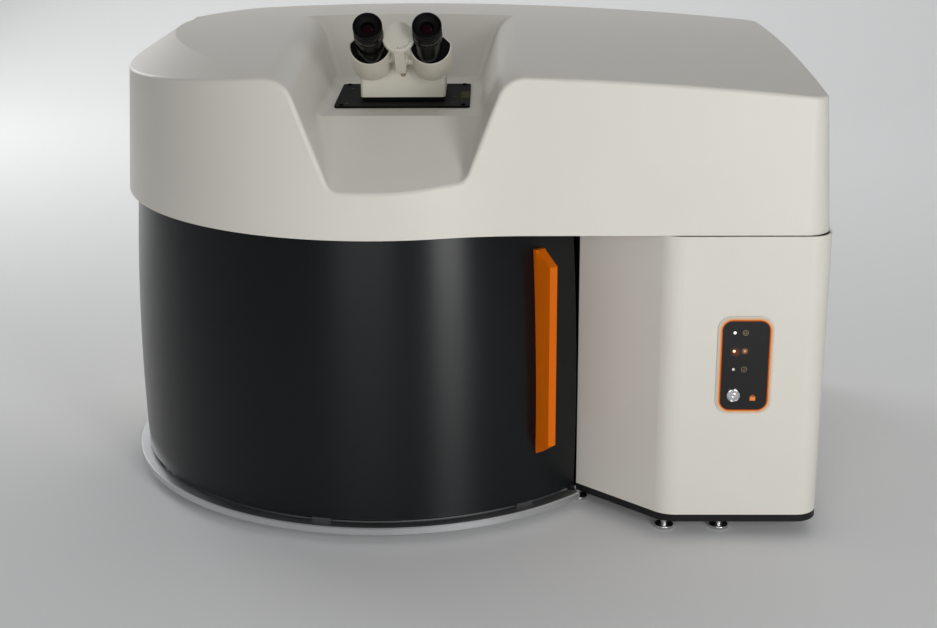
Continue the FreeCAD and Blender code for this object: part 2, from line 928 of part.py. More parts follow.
def door_handle():
    """The finger grip: a tall fin with sloping ends, hollowed to sit on the door's barrel."""
    root = handle_w / 2
    ridge = handle_ridge_w / 2
    out_y = drum_y - door_r - handle_reach
    in_y = drum_y - door_r + 30.0
    cx = drum_x

    def section(z, y_out):
        return [V(cx - root, in_y, z), V(cx - root, drum_y - door_r + 2, z), V(cx - ridge, y_out, z),
                V(cx + ridge, y_out, z), V(cx + root, drum_y - door_r + 2, z), V(cx + root, in_y, z)]

    levels = [(handle_bottom, drum_y - door_r + 1.5), (handle_bottom + handle_end, out_y),
              (handle_top - handle_end, out_y), (handle_top, drum_y - door_r + 1.5)]
    wires = []
    for z, y_out in levels:
        pts = section(z, y_out)
        wires.append(Part.makePolygon(pts + [pts[0]]))
    fin = Part.makeLoft(wires, True, True)
    fin = fin.cut(door_body(handle_bottom - 5, handle_top + 5, 0.0, -12, 12, drum_r - 40))
    return at_azimuth(fin.Solids[0], handle_az)


def door_strike():
    """The shelf on the door's inner face that the lock bolt drops into."""
    half = math.degrees(strike_w / 2 / lock_r)
    low = strike_top - strike_t
    plate = door_body(low, strike_top, door_wall, lock_az - half, lock_az + half, lock_r - strike_reach)
    hole = cyl(bolt_r + bolt_fit, drum_point(lock_r, lock_az, low - 1), strike_t + 2)
    return plate.cut(hole)


def door_fittings():
    return group(door_glides() + [door_strike()])


def lock_bolt():
    return cyl(bolt_r, drum_point(lock_r, lock_az, bolt_rest_z), deck_bottom - 2 - bolt_rest_z)


def lock_solenoid():
    bottom = bolt_rest_z + solenoid_up
    can = cyl(solenoid_r, drum_point(lock_r, lock_az, bottom), deck_bottom - bottom)
    bore = cyl(bolt_r + shaft_fit, drum_point(lock_r, lock_az, bottom - 1), deck_bottom - bottom - 0.5)
    return can.cut(bore)


def drum_rear_shell():
    reach = rear_panel_y - panel_t - drum_y
    end_az = -180.0 + math.degrees(math.acos(reach / drum_r)) + 0.3
    profile = [(drum_r - shell_wall, base_top), (drum_r, base_top), (drum_r, deck_bottom),
               (drum_r - shell_wall, deck_bottom)]
    return spin(profile, end_az, shell_start_az)


# Cabinet and rear panel
def cabinet_shell():
    outer = cabinet_prism(0.0, base_top, cabinet_top, rear_panel_y)
    inner = cabinet_prism(cabinet_wall, base_top - 1, cabinet_top + 1, rear_panel_y + 1)
    shell = outer.cut(inner)
    start_y = cabinet_corners(cabinet_wall)[0]
    shell = shell.cut(box(junction_x - 1, junction_x + 0.01, start_y, rear_panel_y, base_top, cabinet_top))
    shell = shell.Solids[0]
    opening = rounded_slab(status_x, status_z, status_w - 2 * bezel_w, status_h - 2 * bezel_w,
                           status_r - bezel_w, cabinet_front_y - 1, cabinet_front_y + cabinet_wall + 1)
    return shell.cut(opening)


def chamber_partition():
    rear_y = rear_panel_y - panel_t
    wall = box(junction_x, junction_x + panel_t, junction_y - 20, rear_y, base_top, deck_bottom)
    return wall.common(cabinet_prism(cabinet_wall, base_top, deck_bottom, rear_y))


def rear_panel():
    reach = rear_panel_y - panel_t - drum_y
    left = drum_x - math.sqrt(drum_r ** 2 - reach ** 2)
    right = half_width - cabinet_wall
    y0 = rear_panel_y - panel_t
    panel = box(left, right, y0, rear_panel_y, base_top, cabinet_top)
    panel = panel.cut(cyl(fan_bore_r, V(fan_x, y0 - 1, fan_z), panel_t + 2, V(0, 1, 0)))
    panel = panel.cut(box(inlet_x - inlet_w / 2, inlet_x + inlet_w / 2, y0 - 1, rear_panel_y + 1,
                          inlet_z - inlet_h / 2, inlet_z + inlet_h / 2))
    w = rocker_w / 2 + rocker_rim
    h = rocker_h / 2 + rocker_rim
    panel = panel.cut(box(rocker_x - w, rocker_x + w, y0 - 1, rear_panel_y + 1, inlet_z - h, inlet_z + h))
    for x in port_x:
        panel = panel.cut(box(x - port_w / 2, x + port_w / 2, y0 - 1, rear_panel_y + 1,
                              port_z - port_h / 2, port_z + port_h / 2))
    return panel


def status_bezel():
    y0 = cabinet_front_y - status_proud
    ring_out = rounded_slab(status_x, status_z, status_w, status_h, status_r, y0, cabinet_front_y)
    edge = [e for e in ring_out.Edges if e.BoundBox.YMax < y0 + 0.01]
    ring_out = ring_out.makeFillet(status_proud * 0.5, edge)
    hole = rounded_slab(status_x, status_z, status_w - 2 * bezel_w, status_h - 2 * bezel_w,
                        status_r - bezel_w, y0 - 1, cabinet_front_y + 1)
    return ring_out.cut(hole)


def status_trim():
    y0 = cabinet_front_y - status_proud - trim_proud
    y1 = cabinet_front_y + cabinet_wall
    b = bezel_w
    outer = rounded_slab(status_x, status_z, status_w - 2 * b, status_h - 2 * b, status_r - b, y0, y1)
    b = bezel_w + trim_w
    hole = rounded_slab(status_x, status_z, status_w - 2 * b, status_h - 2 * b, status_r - b, y0 - 1, y1 + 1)
    return outer.cut(hole)


def status_glass():
    b = bezel_w + trim_w
    y0 = cabinet_front_y - status_proud
    plate = rounded_slab(status_x, status_z, status_w - 2 * b, status_h - 2 * b, status_r - b,
                         y0, cabinet_front_y + cabinet_wall)
    plate = plate.cut(cyl(button_r + run_gap, V(button_x, y0 - 1, button_z), 20, V(0, 1, 0)))
    for z in lamp_rows_z:
        plate = plate.cut(cyl(lamp_r, V(lamp_x, y0 - 1, z), lamp_t + 1, V(0, 1, 0)))
    return group([plate] + status_lamps())


def status_lamps():
    y0 = cabinet_front_y - status_proud
    return [cyl(lamp_r, V(lamp_x, y0, z), lamp_t, V(0, 1, 0)) for z in lamp_rows_z]


def status_housing():
    """The box behind the glass that carries the lamps, the button guide and the spring."""
    b = bezel_w + trim_w + 2
    y0 = cabinet_front_y + cabinet_wall
    grow = 2 * (status_housing_margin - bezel_w)
    shell = rounded_slab(status_x, status_z, status_w + grow, status_h + grow, status_r, y0, status_housing_back())
    hollow = rounded_slab(status_x, status_z, status_w - 2 * b, status_h - 2 * b, 6.0, y0 - 1, y0 + lamp_space)
    shell = shell.cut(hollow)
    guide = cyl(button_stem_r + shaft_fit, V(button_x, y0, button_z), status_housing_depth + 1, V(0, 1, 0))
    return shell.cut(guide)


def status_housing_back():
    return cabinet_front_y + cabinet_wall + status_housing_depth


def lock_button():
    y0 = cabinet_front_y - status_proud - button_proud
    cap = cyl(button_r, V(button_x, y0, button_z), button_h, V(0, 1, 0))
    edge = [e for e in cap.Edges if e.BoundBox.YMax < y0 + 0.01]
    cap = cap.makeFillet(0.8, edge)
    stem = cyl(button_stem_r, V(button_x, y0 + button_h - 0.5, button_z), button_stem_l, V(0, 1, 0))
    return fuse([cap, stem])


# Microscope stand, stage and nosepiece
def microscope_stand():
    back = column_front_y + column_depth
    foot = box(axis_x - stand_foot_w / 2, axis_x + stand_foot_w / 2, axis_y - stand_foot_front, back + 20,
               base_top, base_top + stand_foot_t)
    upright = [e for e in foot.Edges if e.BoundBox.ZLength > stand_foot_t * 0.9]
    foot = foot.makeFillet(stand_fillet * 2, upright)
    column = box(axis_x - column_w / 2, axis_x + column_w / 2, column_front_y, back, base_top, arm_top)
    arm = box(axis_x - column_w / 2, axis_x + column_w / 2, axis_y - arm_nose, back, arm_bottom, arm_top)
    nose = [e for e in arm.Edges if e.BoundBox.ZLength > 1 and e.BoundBox.YMax < axis_y]
    arm = arm.makeFillet(stand_fillet * 3, nose)
    stand = fuse([foot, column, arm])
    stand = stand.cut(cyl(beam_r, V(axis_x, axis_y, arm_bottom - 1), arm_top - arm_bottom + 2))
    return group([stand] + focus_rails())


def focus_rails():
    """The two guide rails on the front of the column."""
    rails = []
    for s in (-1, 1):
        x = axis_x + s * rail_spacing / 2
        rails.append(box(x - rail_w / 2, x + rail_w / 2, column_front_y - rail_depth, column_front_y,
                         rail_z0, rail_z1))
    return rails


def stage_levels():
    """Heights of the stacked stage plates, from the specimen downwards."""
    x_top = sample_z - slide_glass_t - insert_t
    x_low = x_top - stage_plate_t
    y_top = x_low - run_gap
    y_low = y_top - stage_plate_t
    shelf_top = y_low - run_gap
    return x_top, x_low, y_top, y_low, shelf_top


def focus_carriage():
    shelf_top = stage_levels()[4]
    rear = column_front_y - carriage_clear
    front = rear - carriage_t
    low = shelf_top - shelf_t - carriage_h / 2
    plate = box(axis_x - carriage_w / 2, axis_x + carriage_w / 2, front, rear, low, shelf_top)
    for s in (-1, 1):
        x = axis_x + s * rail_spacing / 2
        w = rail_w / 2 + run_gap
        groove_y = column_front_y - rail_depth - run_gap
        plate = plate.cut(box(x - w, x + w, groove_y, rear + 1, low - 1, shelf_top + 1))
    half = stage_y_w / 2
    table = box(axis_x - half, axis_x + half, axis_y - stage_y_d / 2, front, shelf_top - shelf_t, shelf_top)
    body = fuse([plate, table])
    return fuse([body] + stage_rails(shelf_top, False))


def stage_rails(z, along_x):
    """Two guide rails on top of a plate at height z."""
    rails = []
    for s in (-1, 1):
        if along_x:
            y = axis_y + s * stage_x_d * 0.32
            rails.append(box(axis_x - stage_x_w / 2, axis_x + stage_x_w / 2, y - stage_rail_w / 2,
                             y + stage_rail_w / 2, z, z + stage_rail_h))
        else:
            x = axis_x + s * stage_y_w * 0.36
            rails.append(box(x - stage_rail_w / 2, x + stage_rail_w / 2, axis_y - stage_y_d / 2,
                             axis_y + stage_y_d / 2, z, z + stage_rail_h))
    return rails


def stage_grooves(z, along_x):
    """What the rails of the plate below take out of the plate above, over the whole travel."""
    grooves = []
    for rail in stage_rails(z, along_x):
        b = rail.BoundBox
        gx = stage_y_w if along_x else run_gap
        gy = run_gap if along_x else stage_y_w
        top = z + stage_rail_h + run_gap
        grooves.append(box(b.XMin - gx, b.XMax + gx, b.YMin - gy, b.YMax + gy, z - 1, top))
    return grooves


def stage_y_plate():
    x_top, x_low, y_top, y_low, shelf_top = stage_levels()
    w = stage_y_w / 2
    d = stage_y_d / 2
    plate = box(axis_x - w, axis_x + w, axis_y - d, axis_y + d, y_low, y_top)
    for groove in stage_grooves(shelf_top, False):
        plate = plate.cut(groove)
    return fuse([plate] + stage_rails(y_top, True))


def stage_x_plate():
    x_top, x_low, y_top, y_low, shelf_top = stage_levels()
    w = stage_x_w / 2
    d = stage_x_d / 2
    plate = box(axis_x - w, axis_x + w, axis_y - d, axis_y + d, x_low, x_top)
    upright = [e for e in plate.Edges if e.BoundBox.ZLength > stage_plate_t * 0.9]
    plate = plate.makeFillet(6.0, upright)
    for groove in stage_grooves(y_top, True):
        plate = plate.cut(groove)
    return group([plate, sample_holder()])


def sample_holder():
    x_top = stage_levels()[0]
    w = holder_w / 2
    d = holder_d / 2
    frame = box(axis_x - w, axis_x + w, axis_y - d, axis_y + d, x_top, x_top + insert_t)
    clip_x = axis_x - slide_l / 2 - 1.0
    y = axis_y + clip_y
    clip = box(clip_x - clip_l, clip_x, y - clip_w / 2, y + clip_w / 2, x_top + insert_t, x_top + insert_t + clip_h)
    return fuse([frame, clip])


def specimen_slide():
    z = stage_levels()[0] + insert_t
    return box(axis_x - slide_l / 2, axis_x + slide_l / 2, axis_y - slide_w / 2, axis_y + slide_w / 2,
               z, z + slide_glass_t)


def turret_frame():
    """The nosepiece axis: its apex on the optical axis, its downward direction, leaning back."""
    apex_z = sample_z + working_gap + objective_lens[0] + shoulder_dist
    tilt = math.radians(turret_tilt)
    return V(axis_x, axis_y, apex_z), V(0, math.sin(tilt), -math.cos(tilt))


def spin_about(profile, origin, axis):
    """Revolve (radius, height along the axis) points about a leaning axis through origin."""
    side = axis.cross(V(1, 0, 0))
    side.normalize()
    corners = [origin + side * r + axis * h for r, h in profile]
    face = Part.Face(Part.makePolygon(corners + [corners[0]]))
    return face.revolve(origin, axis, 360)


def nosepiece():
    apex, down = turret_frame()
    tilt = math.radians(turret_tilt)
    seat_r = shoulder_dist * math.sin(tilt)
    seat_h = shoulder_dist * math.cos(tilt)

    def cone_h(r):
        return seat_h + (seat_r - r) * math.tan(tilt)

    top = turret_back
    profile = [(0, top - 10), (turret_shaft_r, top - 10), (turret_shaft_r, top), (turret_r, top),
               (turret_r, cone_h(turret_r)), (12, cone_h(12)), (0, cone_h(12))]
    body = spin_about(profile, apex, down)
    for axis in objective_axes():
        body = body.cut(cyl(beam_r, apex + axis * (turret_back - 5), 60, axis))
    return body


def nosepiece_mount():
    apex, down = turret_frame()
    length = turret_back - run_gap - 20
    mount = cyl(turret_mount_r, apex + down * 20, length, down)
    mount = mount.cut(cyl(turret_shaft_r + shaft_fit, apex + down * (turret_back - 11), 12, down))
    mount = mount.cut(cyl(beam_r, V(axis_x, axis_y, 200), 220))
    return mount.common(box(-half_width, half_width, -half_depth, half_depth, 0, arm_bottom))


def objective_axes():
    apex, down = turret_frame()
    axes = []
    for k in range(len(objective_tips)):
        turn = FreeCAD.Rotation(down, 360.0 / len(objective_tips) * k)
        axes.append(turn.multVec(V(0, 0, -1)))
    return axes


def objectives():
    """Five objectives; the working one stands on the optical axis over the specimen."""
    return group([objective(k, objective_lens[k], objective_tips[k]) for k in range(len(objective_tips))])


def objective(index, length, tip_r):
    apex, down = turret_frame()
    axis = objective_axes()[index]
    base = apex + axis * shoulder_dist
    side = axis.cross(V(1, 0, 0))
    side.normalize()
    neck = objective_r * objective_neck
    profile = [(0, 0), (objective_r - 2, 0), (objective_r, 2), (objective_r, length * 0.62),
               (neck, length * 0.7), (neck, length * 0.82), (tip_r, length), (0, length)]
    corners = [base + side * r + axis * h for r, h in profile]
    face = Part.Face(Part.makePolygon(corners + [corners[0]]))
    return face.revolve(base, axis, 360)


# Head above the deck
def illuminator_block():
    block = box(axis_x - block_w / 2, axis_x + block_w / 2, axis_y - block_front, axis_y + block_back,
                arm_top, block_top)
    upright = [e for e in block.Edges if e.BoundBox.ZLength > 60]
    block = block.makeFillet(stand_fillet, upright)
    block = block.cut(cyl(beam_r, V(axis_x, axis_y, arm_top - 1), block_top - arm_top + 2))
    return group([block, beam_combiner()])


def beam_combiner():
    block = box(axis_x - combiner_w / 2, axis_x + combiner_w / 2, axis_y - combiner_d / 2,
                axis_y + combiner_d / 2, block_top, combiner_top)
    block = block.cut(cyl(beam_r, V(axis_x, axis_y, block_top - 1), combiner_top - block_top + 2))
    return block.cut(cyl(beam_r, V(axis_x, axis_y, beam_z), combiner_w, V(1, 0, 0)))


def head_tube():
    start = V(axis_x, axis_y, combiner_top)
    return ring(head_tube_r, head_tube_r - head_tube_wall, start, riser_bottom - combiner_top)


def wheel_centre():
    return V(wheel_x, axis_y + wheel_pitch_r, beam_z)


def filter_places():
    places = []
    c = wheel_centre()
    for k in range(wheel_filters_n):
        a = math.radians(-90 + 360.0 / wheel_filters_n * k)
        places.append(V(c.x, c.y + wheel_pitch_r * math.sin(a), c.z + wheel_pitch_r * math.cos(a)))
    return places


def filter_wheel():
    c = wheel_centre()
    along = V(1, 0, 0)
    wheel = cyl(wheel_r, c, wheel_t, along)
    wheel = fuse([wheel, cyl(wheel_shaft_r, c, wheel_t + wheel_shaft_l, along)])
    for p in filter_places():
        wheel = wheel.cut(cyl(wheel_filter_r, p - along, wheel_t + 2, along))
    return group([wheel] + wheel_filters())


def wheel_filters():
    inset = (wheel_t - filter_t) / 2
    return [cyl(wheel_filter_r, p + V(inset, 0, 0), filter_t, V(1, 0, 0)) for p in filter_places()]


def wheel_motor():
    c = wheel_centre()
    x0 = c.x + wheel_t + motor_gap
    x1 = x0 + motor_l
    along = V(1, 0, 0)
    can = cyl(motor_r, V(x0, c.y, c.z), motor_l, along)
    can = can.cut(cyl(wheel_shaft_r + shaft_fit, V(x0 - 1, c.y, c.z), wheel_shaft_l - motor_gap + 1.5, along))
    w = motor_post_w / 2
    post = box(x1 - motor_post_t, x1, c.y - w, c.y + w, deck_top, c.z)
    post = post.cut(cyl(motor_r - 1, V(x0, c.y, c.z), motor_l + 1, along))
    return fuse([can, post])


def fold_mirrors():
    """The periscope that carries the beam down into the cabinet: two 45 degree mirrors on posts."""
    x = periscope_x
    m = mirror_half
    d = mirror_depth / 2
    outline = [(x - m, beam_z + m), (x + m, beam_z - m), (x + m, beam_z + m)]
    upper = wedge([V(px, axis_y - d, pz) for px, pz in outline], V(0, 2 * d, 0))
    post = box(x + m, x + m + post_w, axis_y - d, axis_y + d, deck_top, beam_z + m)
    outline = [(axis_y - m, optics_z + m), (axis_y - m, optics_z - m), (axis_y + m, optics_z - m)]
    lower = wedge([V(x - d, py, pz) for py, pz in outline], V(2 * d, 0, 0))
    foot = cyl(post_w / 2, V(x, axis_y, case_floor()), optics_z - m - case_floor())
    glass = [cyl(mirror_r, V(x, axis_y, beam_z), mirror_t, V(-1, 0, -1)),
             cyl(mirror_r, V(x, axis_y, optics_z), mirror_t, V(0, 1, 1))]
    return group([fuse([upper, post]), fuse([lower, foot])] + glass)


def wedge(corners, sweep):
    return Part.Face(Part.makePolygon(corners + [corners[0]])).extrude(sweep)


# Binocular
def tube_dir():
    a = math.radians(tube_rise)
    return V(0, -math.cos(a), math.sin(a)), V(0, math.sin(a), math.cos(a))


def eye_point(x, back, up=0.0):
    """A point in the binocular's own frame: across, behind the eyepiece ends, and above the axis."""
    d, u = tube_dir()
    return V(axis_x + x, eye_y, eye_z) - d * back + u * up


def slanted_block(x0, x1, profile):
    """Extrude a (back, up) outline across X in the binocular's frame."""
    corners = [eye_point(x0, t, v) for t, v in profile]
    face = Part.Face(Part.makePolygon(corners + [corners[0]]))
    return face.extrude(V(x1 - x0, 0, 0))


def housing_bar(side, front, back, inset):
    """One prism housing as a bar along the tube axis: round below, bevelled above."""
    x = side * housing_x
    r = housing_r - inset
    bevel = housing_bevel_x - inset / 2
    top = housing_top - inset
    low = eye_point(x, back, housing_mid - r)
    ends = [eye_point(x + s * r, back, housing_mid) for s in (-1, 1)]
    upper = [ends[1], eye_point(x + r, back, housing_mid + housing_side), eye_point(x + bevel, back, top),
             eye_point(x - bevel, back, top), eye_point(x - r, back, housing_mid + housing_side), ends[0]]
    edges = [Part.Arc(ends[0], low, ends[1]).toShape()]
    for k in range(len(upper) - 1):
        edges.append(Part.makeLine(upper[k], upper[k + 1]))
    face = Part.Face(Part.Wire(Part.__sortEdges__(edges)))
    return face.extrude(tube_dir()[0] * (back - front))


def prism_housing(side):
    back = housing_front + housing_depth
    body = housing_bar(side, housing_front, back, 0.0)
    body = body.cut(housing_bar(side, housing_front - 1, housing_front + housing_pocket, housing_lip))
    ear_front, other_front = ear_places(side)
    d = tube_dir()[0]
    ear = cyl(hinge_ear_r, eye_point(0, ear_front + ear_t), ear_t, d)
    reach = side * (housing_x - housing_r * 0.7)
    bar = slanted_block(min(0, reach), max(0, reach),
                        [(ear_front, -5), (ear_front + ear_t, -5), (ear_front + ear_t, 5), (ear_front, 5)])
    body = fuse([body, ear, bar])
    room = cyl(hinge_ear_r + 2 * run_gap, eye_point(0, other_front + ear_t + run_gap), ear_t + 2 * run_gap, d)
    body = body.cut(room)
    return body.cut(cyl(hinge_shaft_r + shaft_fit, eye_point(0, back + 1), housing_depth + 20, d))


def ear_places(side):
    """Where this housing's hinge ear starts, and where the other one's does."""
    left = housing_front + 14
    right = left + ear_t + run_gap
    if side < 0:
        return left, right
    return right, left


def housing_face(side):
    """The dark plate in the front pocket of a prism housing, with the tube's bore through it."""
    floor = housing_front + housing_pocket
    plate = housing_bar(side, floor - housing_face_t, floor, housing_lip + run_gap)
    d = tube_dir()[0]
    bore = cyl(tube_r - tube_wall, eye_point(side * eye_half_gap, floor + 1), housing_face_t + 2, d)
    return plate.cut(bore)


def tube_and_face(side):
    return group([housing_face(side), eyepiece_tube(side)])


def eyepiece_tube(side):
    d = tube_dir()[0]
    face = housing_front + housing_pocket - housing_face_t
    start = eye_point(side * eye_half_gap, face)
    return ring(tube_r, tube_r - tube_wall, start, face - tube_front, d)


def eyepiece(side):
    """The eyepiece barrel: a flange, a knurled grip and a bore for its lenses."""
    d = tube_dir()[0]
    x = side * eye_half_gap
    barrel = cyl(eyepiece_r - 0.6, eye_point(x, tube_front), tube_front - cup_len, d)
    flange = cyl(eyepiece_r, eye_point(x, tube_front), 5.0, d)
    whole = fuse([barrel, flange])
    return whole.cut(cyl(lens_r, eye_point(x, tube_front + 1), tube_front, d))


def eyepiece_and_cup(side):
    return group([eyepiece(side), eyecup(side)])


def eyecup(side):
    d = tube_dir()[0]
    x = side * eye_half_gap
    cup = cyl(eyepiece_r, eye_point(x, cup_len), cup_len, d)
    rim = [e for e in cup.Edges if e.CenterOfMass.distanceToPoint(eye_point(x, 0)) < 0.5]
    cup = cup.makeFillet(cup_wall, rim)
    bore = cyl(eyepiece_r - cup_wall * 2, eye_point(x, cup_len - 3), cup_len + 2, d)
    return cup.cut(bore).cut(cyl(lens_r, eye_point(x, cup_len + 1), cup_len, d))


def eye_lens(side):
    d = tube_dir()[0]
    x = side * eye_half_gap
    return cyl(lens_r, eye_point(x, cup_len + 4), 4.0, d)


def dioptre_ring():
    d = tube_dir()[0]
    x = -eye_half_gap
    blank = cyl(tube_r + ring_wall, eye_point(x, ring_back), ring_len, d)
    return blank.cut(cyl(tube_r + shaft_fit, eye_point(x, ring_back + 1), ring_len + 2, d))


def hinge_disc():
    d = tube_dir()[0]
    disc = cyl(disc_r, eye_point(0, disc_back + disc_t), disc_t, d)
    rim = [e for e in disc.Edges if e.CenterOfMass.distanceToPoint(eye_point(0, disc_back)) < 0.5]
    return disc.makeFillet(1.0, rim)


def binocular_body():
    """Base block, slanted rear body, hinge shaft and the slim rib under it."""
    back = housing_front + housing_depth
    w = binocular_block_w / 2
    side = w - rear_block_in
    base = box(axis_x - w, axis_x + w, block_front_y, block_front_y + block_depth, riser_top, block_top_z)
    upright = [e for e in base.Edges if e.BoundBox.ZLength > 20]
    base = base.makeFillet(5.0, upright)
    rear = slanted_block(-side, side, [(back + run_gap, -42), (back + run_gap, 20), (back + 34, 20),
                                       (back + 62, -8), (back + 62, -42)])
    block_back_y = block_front_y + block_depth
    keep = box(-half_width, half_width, block_front_y, block_back_y, riser_top + 10, dome_z + 40)
    rear = rear.common(keep)
    d = tube_dir()[0]
    shaft = cyl(hinge_shaft_r, eye_point(0, back + shaft_tail), back + shaft_tail - disc_back - disc_t, d)
    web = slanted_block(-web_w / 2, web_w / 2,
                        [(disc_back + disc_t + 3, 0), (back + run_gap, 0), (back + web_seat, 20),
                         (back + web_seat, 12), (back - 16, -15), (disc_back + disc_t + 3, -8)])
    ears = cyl(hinge_ear_r + 2.5, eye_point(0, housing_front + 14 + 2 * ear_t + 2 * run_gap),
               2 * ear_t + 3 * run_gap, d)
    web = web.cut(ears)
    return fuse([base, rear, fuse([shaft, web])])


def binocular_block():
    return group([binocular_body(), binocular_screw()])


def binocular_screw():
    """The clamp screw's head on the front of the neck."""
    p = V(axis_x + clamp_screw_x, block_front_y, block_top_z + clamp_screw_up)
    head = cyl(clamp_screw_r, p, clamp_screw_h, V(0, -1, 0))
    return head.cut(cyl(clamp_screw_r * 0.45, p - V(0, clamp_screw_h * 0.5, 0), clamp_screw_h, V(0, -1, 0)))


def binocular_riser():
    """The dark foot of the binocular, round the head tube's light path."""
    w = binocular_block_w / 2 - 3
    block_back_y = block_front_y + block_depth
    plate = box(axis_x - w, axis_x + w, block_front_y + 2, block_back_y - 2, riser_bottom, riser_top)
    return plate.cut(cyl(head_tube_r - head_tube_wall, V(axis_x, axis_y, riser_bottom - 1), 10))


# Cabinet contents
def optics_shelf():
    start_y = cabinet_corners(cabinet_wall)[0]
    g = cabinet_inner_gap
    shelf_rear_y = rear_panel_y - panel_t - g
    plate = cabinet_prism(cabinet_wall + g, optics_shelf_z, optics_shelf_z + optics_shelf_t, shelf_rear_y)
    plate = plate.cut(box(0, junction_x + panel_t + g, start_y - 50, rear_panel_y, 0, deck_top))
    for x, y in pillar_places():
        plate = plate.cut(cyl(pillar_r + 1.5, V(x, y, optics_shelf_z - 1), optics_shelf_t + 2))
    rear_y = fan_depth_front() - g
    plate = plate.cut(box(fan_x - fan_bay_w / 2, fan_x + fan_bay_w / 2, rear_y, rear_panel_y, 0, deck_top))
    half = status_w / 2 + g
    notch_y = status_housing_back() + g
    plate = plate.cut(box(status_x - half, status_x + half, cabinet_front_y, notch_y, 0, deck_top))
    plate = max(plate.Solids, key=lambda piece: piece.Volume)
    return group([plate] + shelf_standoffs() + board_standoffs())


def fan_depth_front():
    return rear_panel_y - panel_t - fan_frame_t


def shelf_standoffs():
    right_x = half_width - standoff_right_in
    places = [
        (junction_x + standoff_left_in, standoff_left_y),
        (right_x - 5.0, standoff_front_y),
        (junction_x + standoff_rear_in, standoff_rear_y),
        (right_x, standoff_rear_y),
    ]
    return [cyl(standoff_r, V(x, y, base_top), optics_shelf_z - base_top) for x, y in places]


def case_floor():
    return optics_shelf_z + optics_shelf_t


def spectrometer_case():
    z0 = case_floor()
    outer = box(case_x0, case_x1, case_y0, case_y1, z0, z0 + case_h)
    w = case_wall
    inner = box(case_x0 + w, case_x1 - w, case_y0 + w, case_y1 - w, z0 + w, z0 + case_h + 1)
    case = outer.cut(inner)
    case = case.cut(cyl(beam_r, V(periscope_x, case_y0 - 1, optics_z), w + 2, V(0, 1, 0)))
    case = case.cut(cyl(snout_r, V(detector_x, case_y0 - 1, optics_z), w + 2, V(0, 1, 0)))
    boss = cyl(grating_boss_r, V(grating_x, grating_y, z0 + w), grating_boss_h)
    case = fuse([case, boss])
    return case.cut(cyl(grating_shaft_r + shaft_fit, V(grating_x, grating_y, z0 + w - 0.5), 20))


def spectrometer_cover():
    z0 = case_floor() + case_h
    return box(case_x0, case_x1, case_y0, case_y1, z0, z0 + case_cover_t)


def entrance_slit():
    x = periscope_x
    w = slit_block_w / 2
    y0 = case_y0 - slit_block_t
    blades = box(x - w, x + w, y0, case_y0, optics_z - w, optics_z + w)
    s = slit_w / 2
    h = slit_h / 2
    return blades.cut(box(x - s, x + s, y0 - 1, case_y0 + 1, optics_z - h, optics_z + h))


def case_optics():
    """The entrance slit and the two concave mirrors inside the spectrometer case."""
    y = case_y1 - case_wall - mirror_block_d / 2
    return group([entrance_slit(), curved_mirror(periscope_x, y), curved_mirror(detector_x, y)])


def curved_mirror(x, y):
    """A concave mirror block that stands on the case floor and faces the front."""
    z0 = case_floor() + case_wall
    w = mirror_block_w / 2
    block = box(x - w, x + w, y - mirror_block_d / 2, y + mirror_block_d / 2, z0, optics_z + w)
    bowl = Part.makeSphere(mirror_focus_r, V(x, y - mirror_focus_r - 4.0, optics_z))
    return block.cut(bowl)


def grating_turret():
    z0 = case_floor() + case_wall
    r = grating_w / (2 * math.sqrt(3)) + 4
    corners = []
    for k in range(3):
        a = math.radians(90 + 120 * k)
        corners.append((grating_x + 2 * r * math.cos(a), grating_y + 2 * r * math.sin(a)))
    low = z0 + grating_boss_h + run_gap
    block = prism(corners, low, low + grating_h + 12)
    shaft = cyl(grating_shaft_r, V(grating_x, grating_y, z0 + 1), 20)
    return group([fuse([block, shaft])] + gratings())


def gratings():
    z0 = case_floor() + case_wall + grating_boss_h + run_gap + 6
    r = grating_w / (2 * math.sqrt(3)) + 4
    plates = []
    for k in range(3):
        w = grating_w / 2
        plate = box(grating_x + r, grating_x + r + grating_t, grating_y - w, grating_y + w, z0, z0 + grating_h)
        plate.rotate(V(grating_x, grating_y, 0), V(0, 0, 1), 30 + 120 * k)
        plates.append(plate)
    return plates


def ccd_detector():
    w = detector_w / 2
    h = detector_h / 2
    y0 = case_y0 - detector_d
    body = box(detector_x - w, detector_x + w, y0, case_y0, optics_z - h, optics_z + h)
    foot = box(detector_x - h / 2, detector_x + h / 2, y0, case_y0 - h / 2, case_floor(), optics_z - h)
    snout = cyl(snout_r - 0.2, V(detector_x, case_y0, optics_z), case_wall, V(0, 1, 0))
    return fuse([body, foot, snout])


def laser_module():
    x0 = junction_x + laser_in
    top = base_top + laser_h
    body = box(x0, x0 + laser_w, laser_y, laser_y + laser_l, base_top, top)
    first = x0 + (laser_w - laser_fin_gap - (laser_fins - 1) * laser_fin_pitch) / 2
    for k in range(laser_fins):
        x = first + k * laser_fin_pitch
        body = body.cut(box(x, x + laser_fin_gap, laser_y + laser_fin_end, laser_y + laser_l - laser_fin_end,
                            top - laser_fin_h, top + 1))
    return body


def bay_right_x():
    """The right limit of what stands in the lower bay of the cabinet."""
    return half_width - cabinet_wall - bay_clear


def power_supply():
    x1 = bay_right_x()
    return box(x1 - supply_w, x1, supply_y, supply_y + supply_d, base_top, base_top + supply_h)


def control_board():
    x1 = bay_right_x()
    return box(x1 - board_w, x1, board_y, board_y + board_d, board_z, board_z + board_t)


def board_standoffs():
    x1 = bay_right_x()
    posts = []
    for x in (x1 - board_w + board_inset, x1 - board_inset):
        for y in (board_y + board_inset, board_y + board_d - board_inset):
            posts.append(cyl(board_post_r, V(x, y, base_top), board_z - base_top))
    return posts


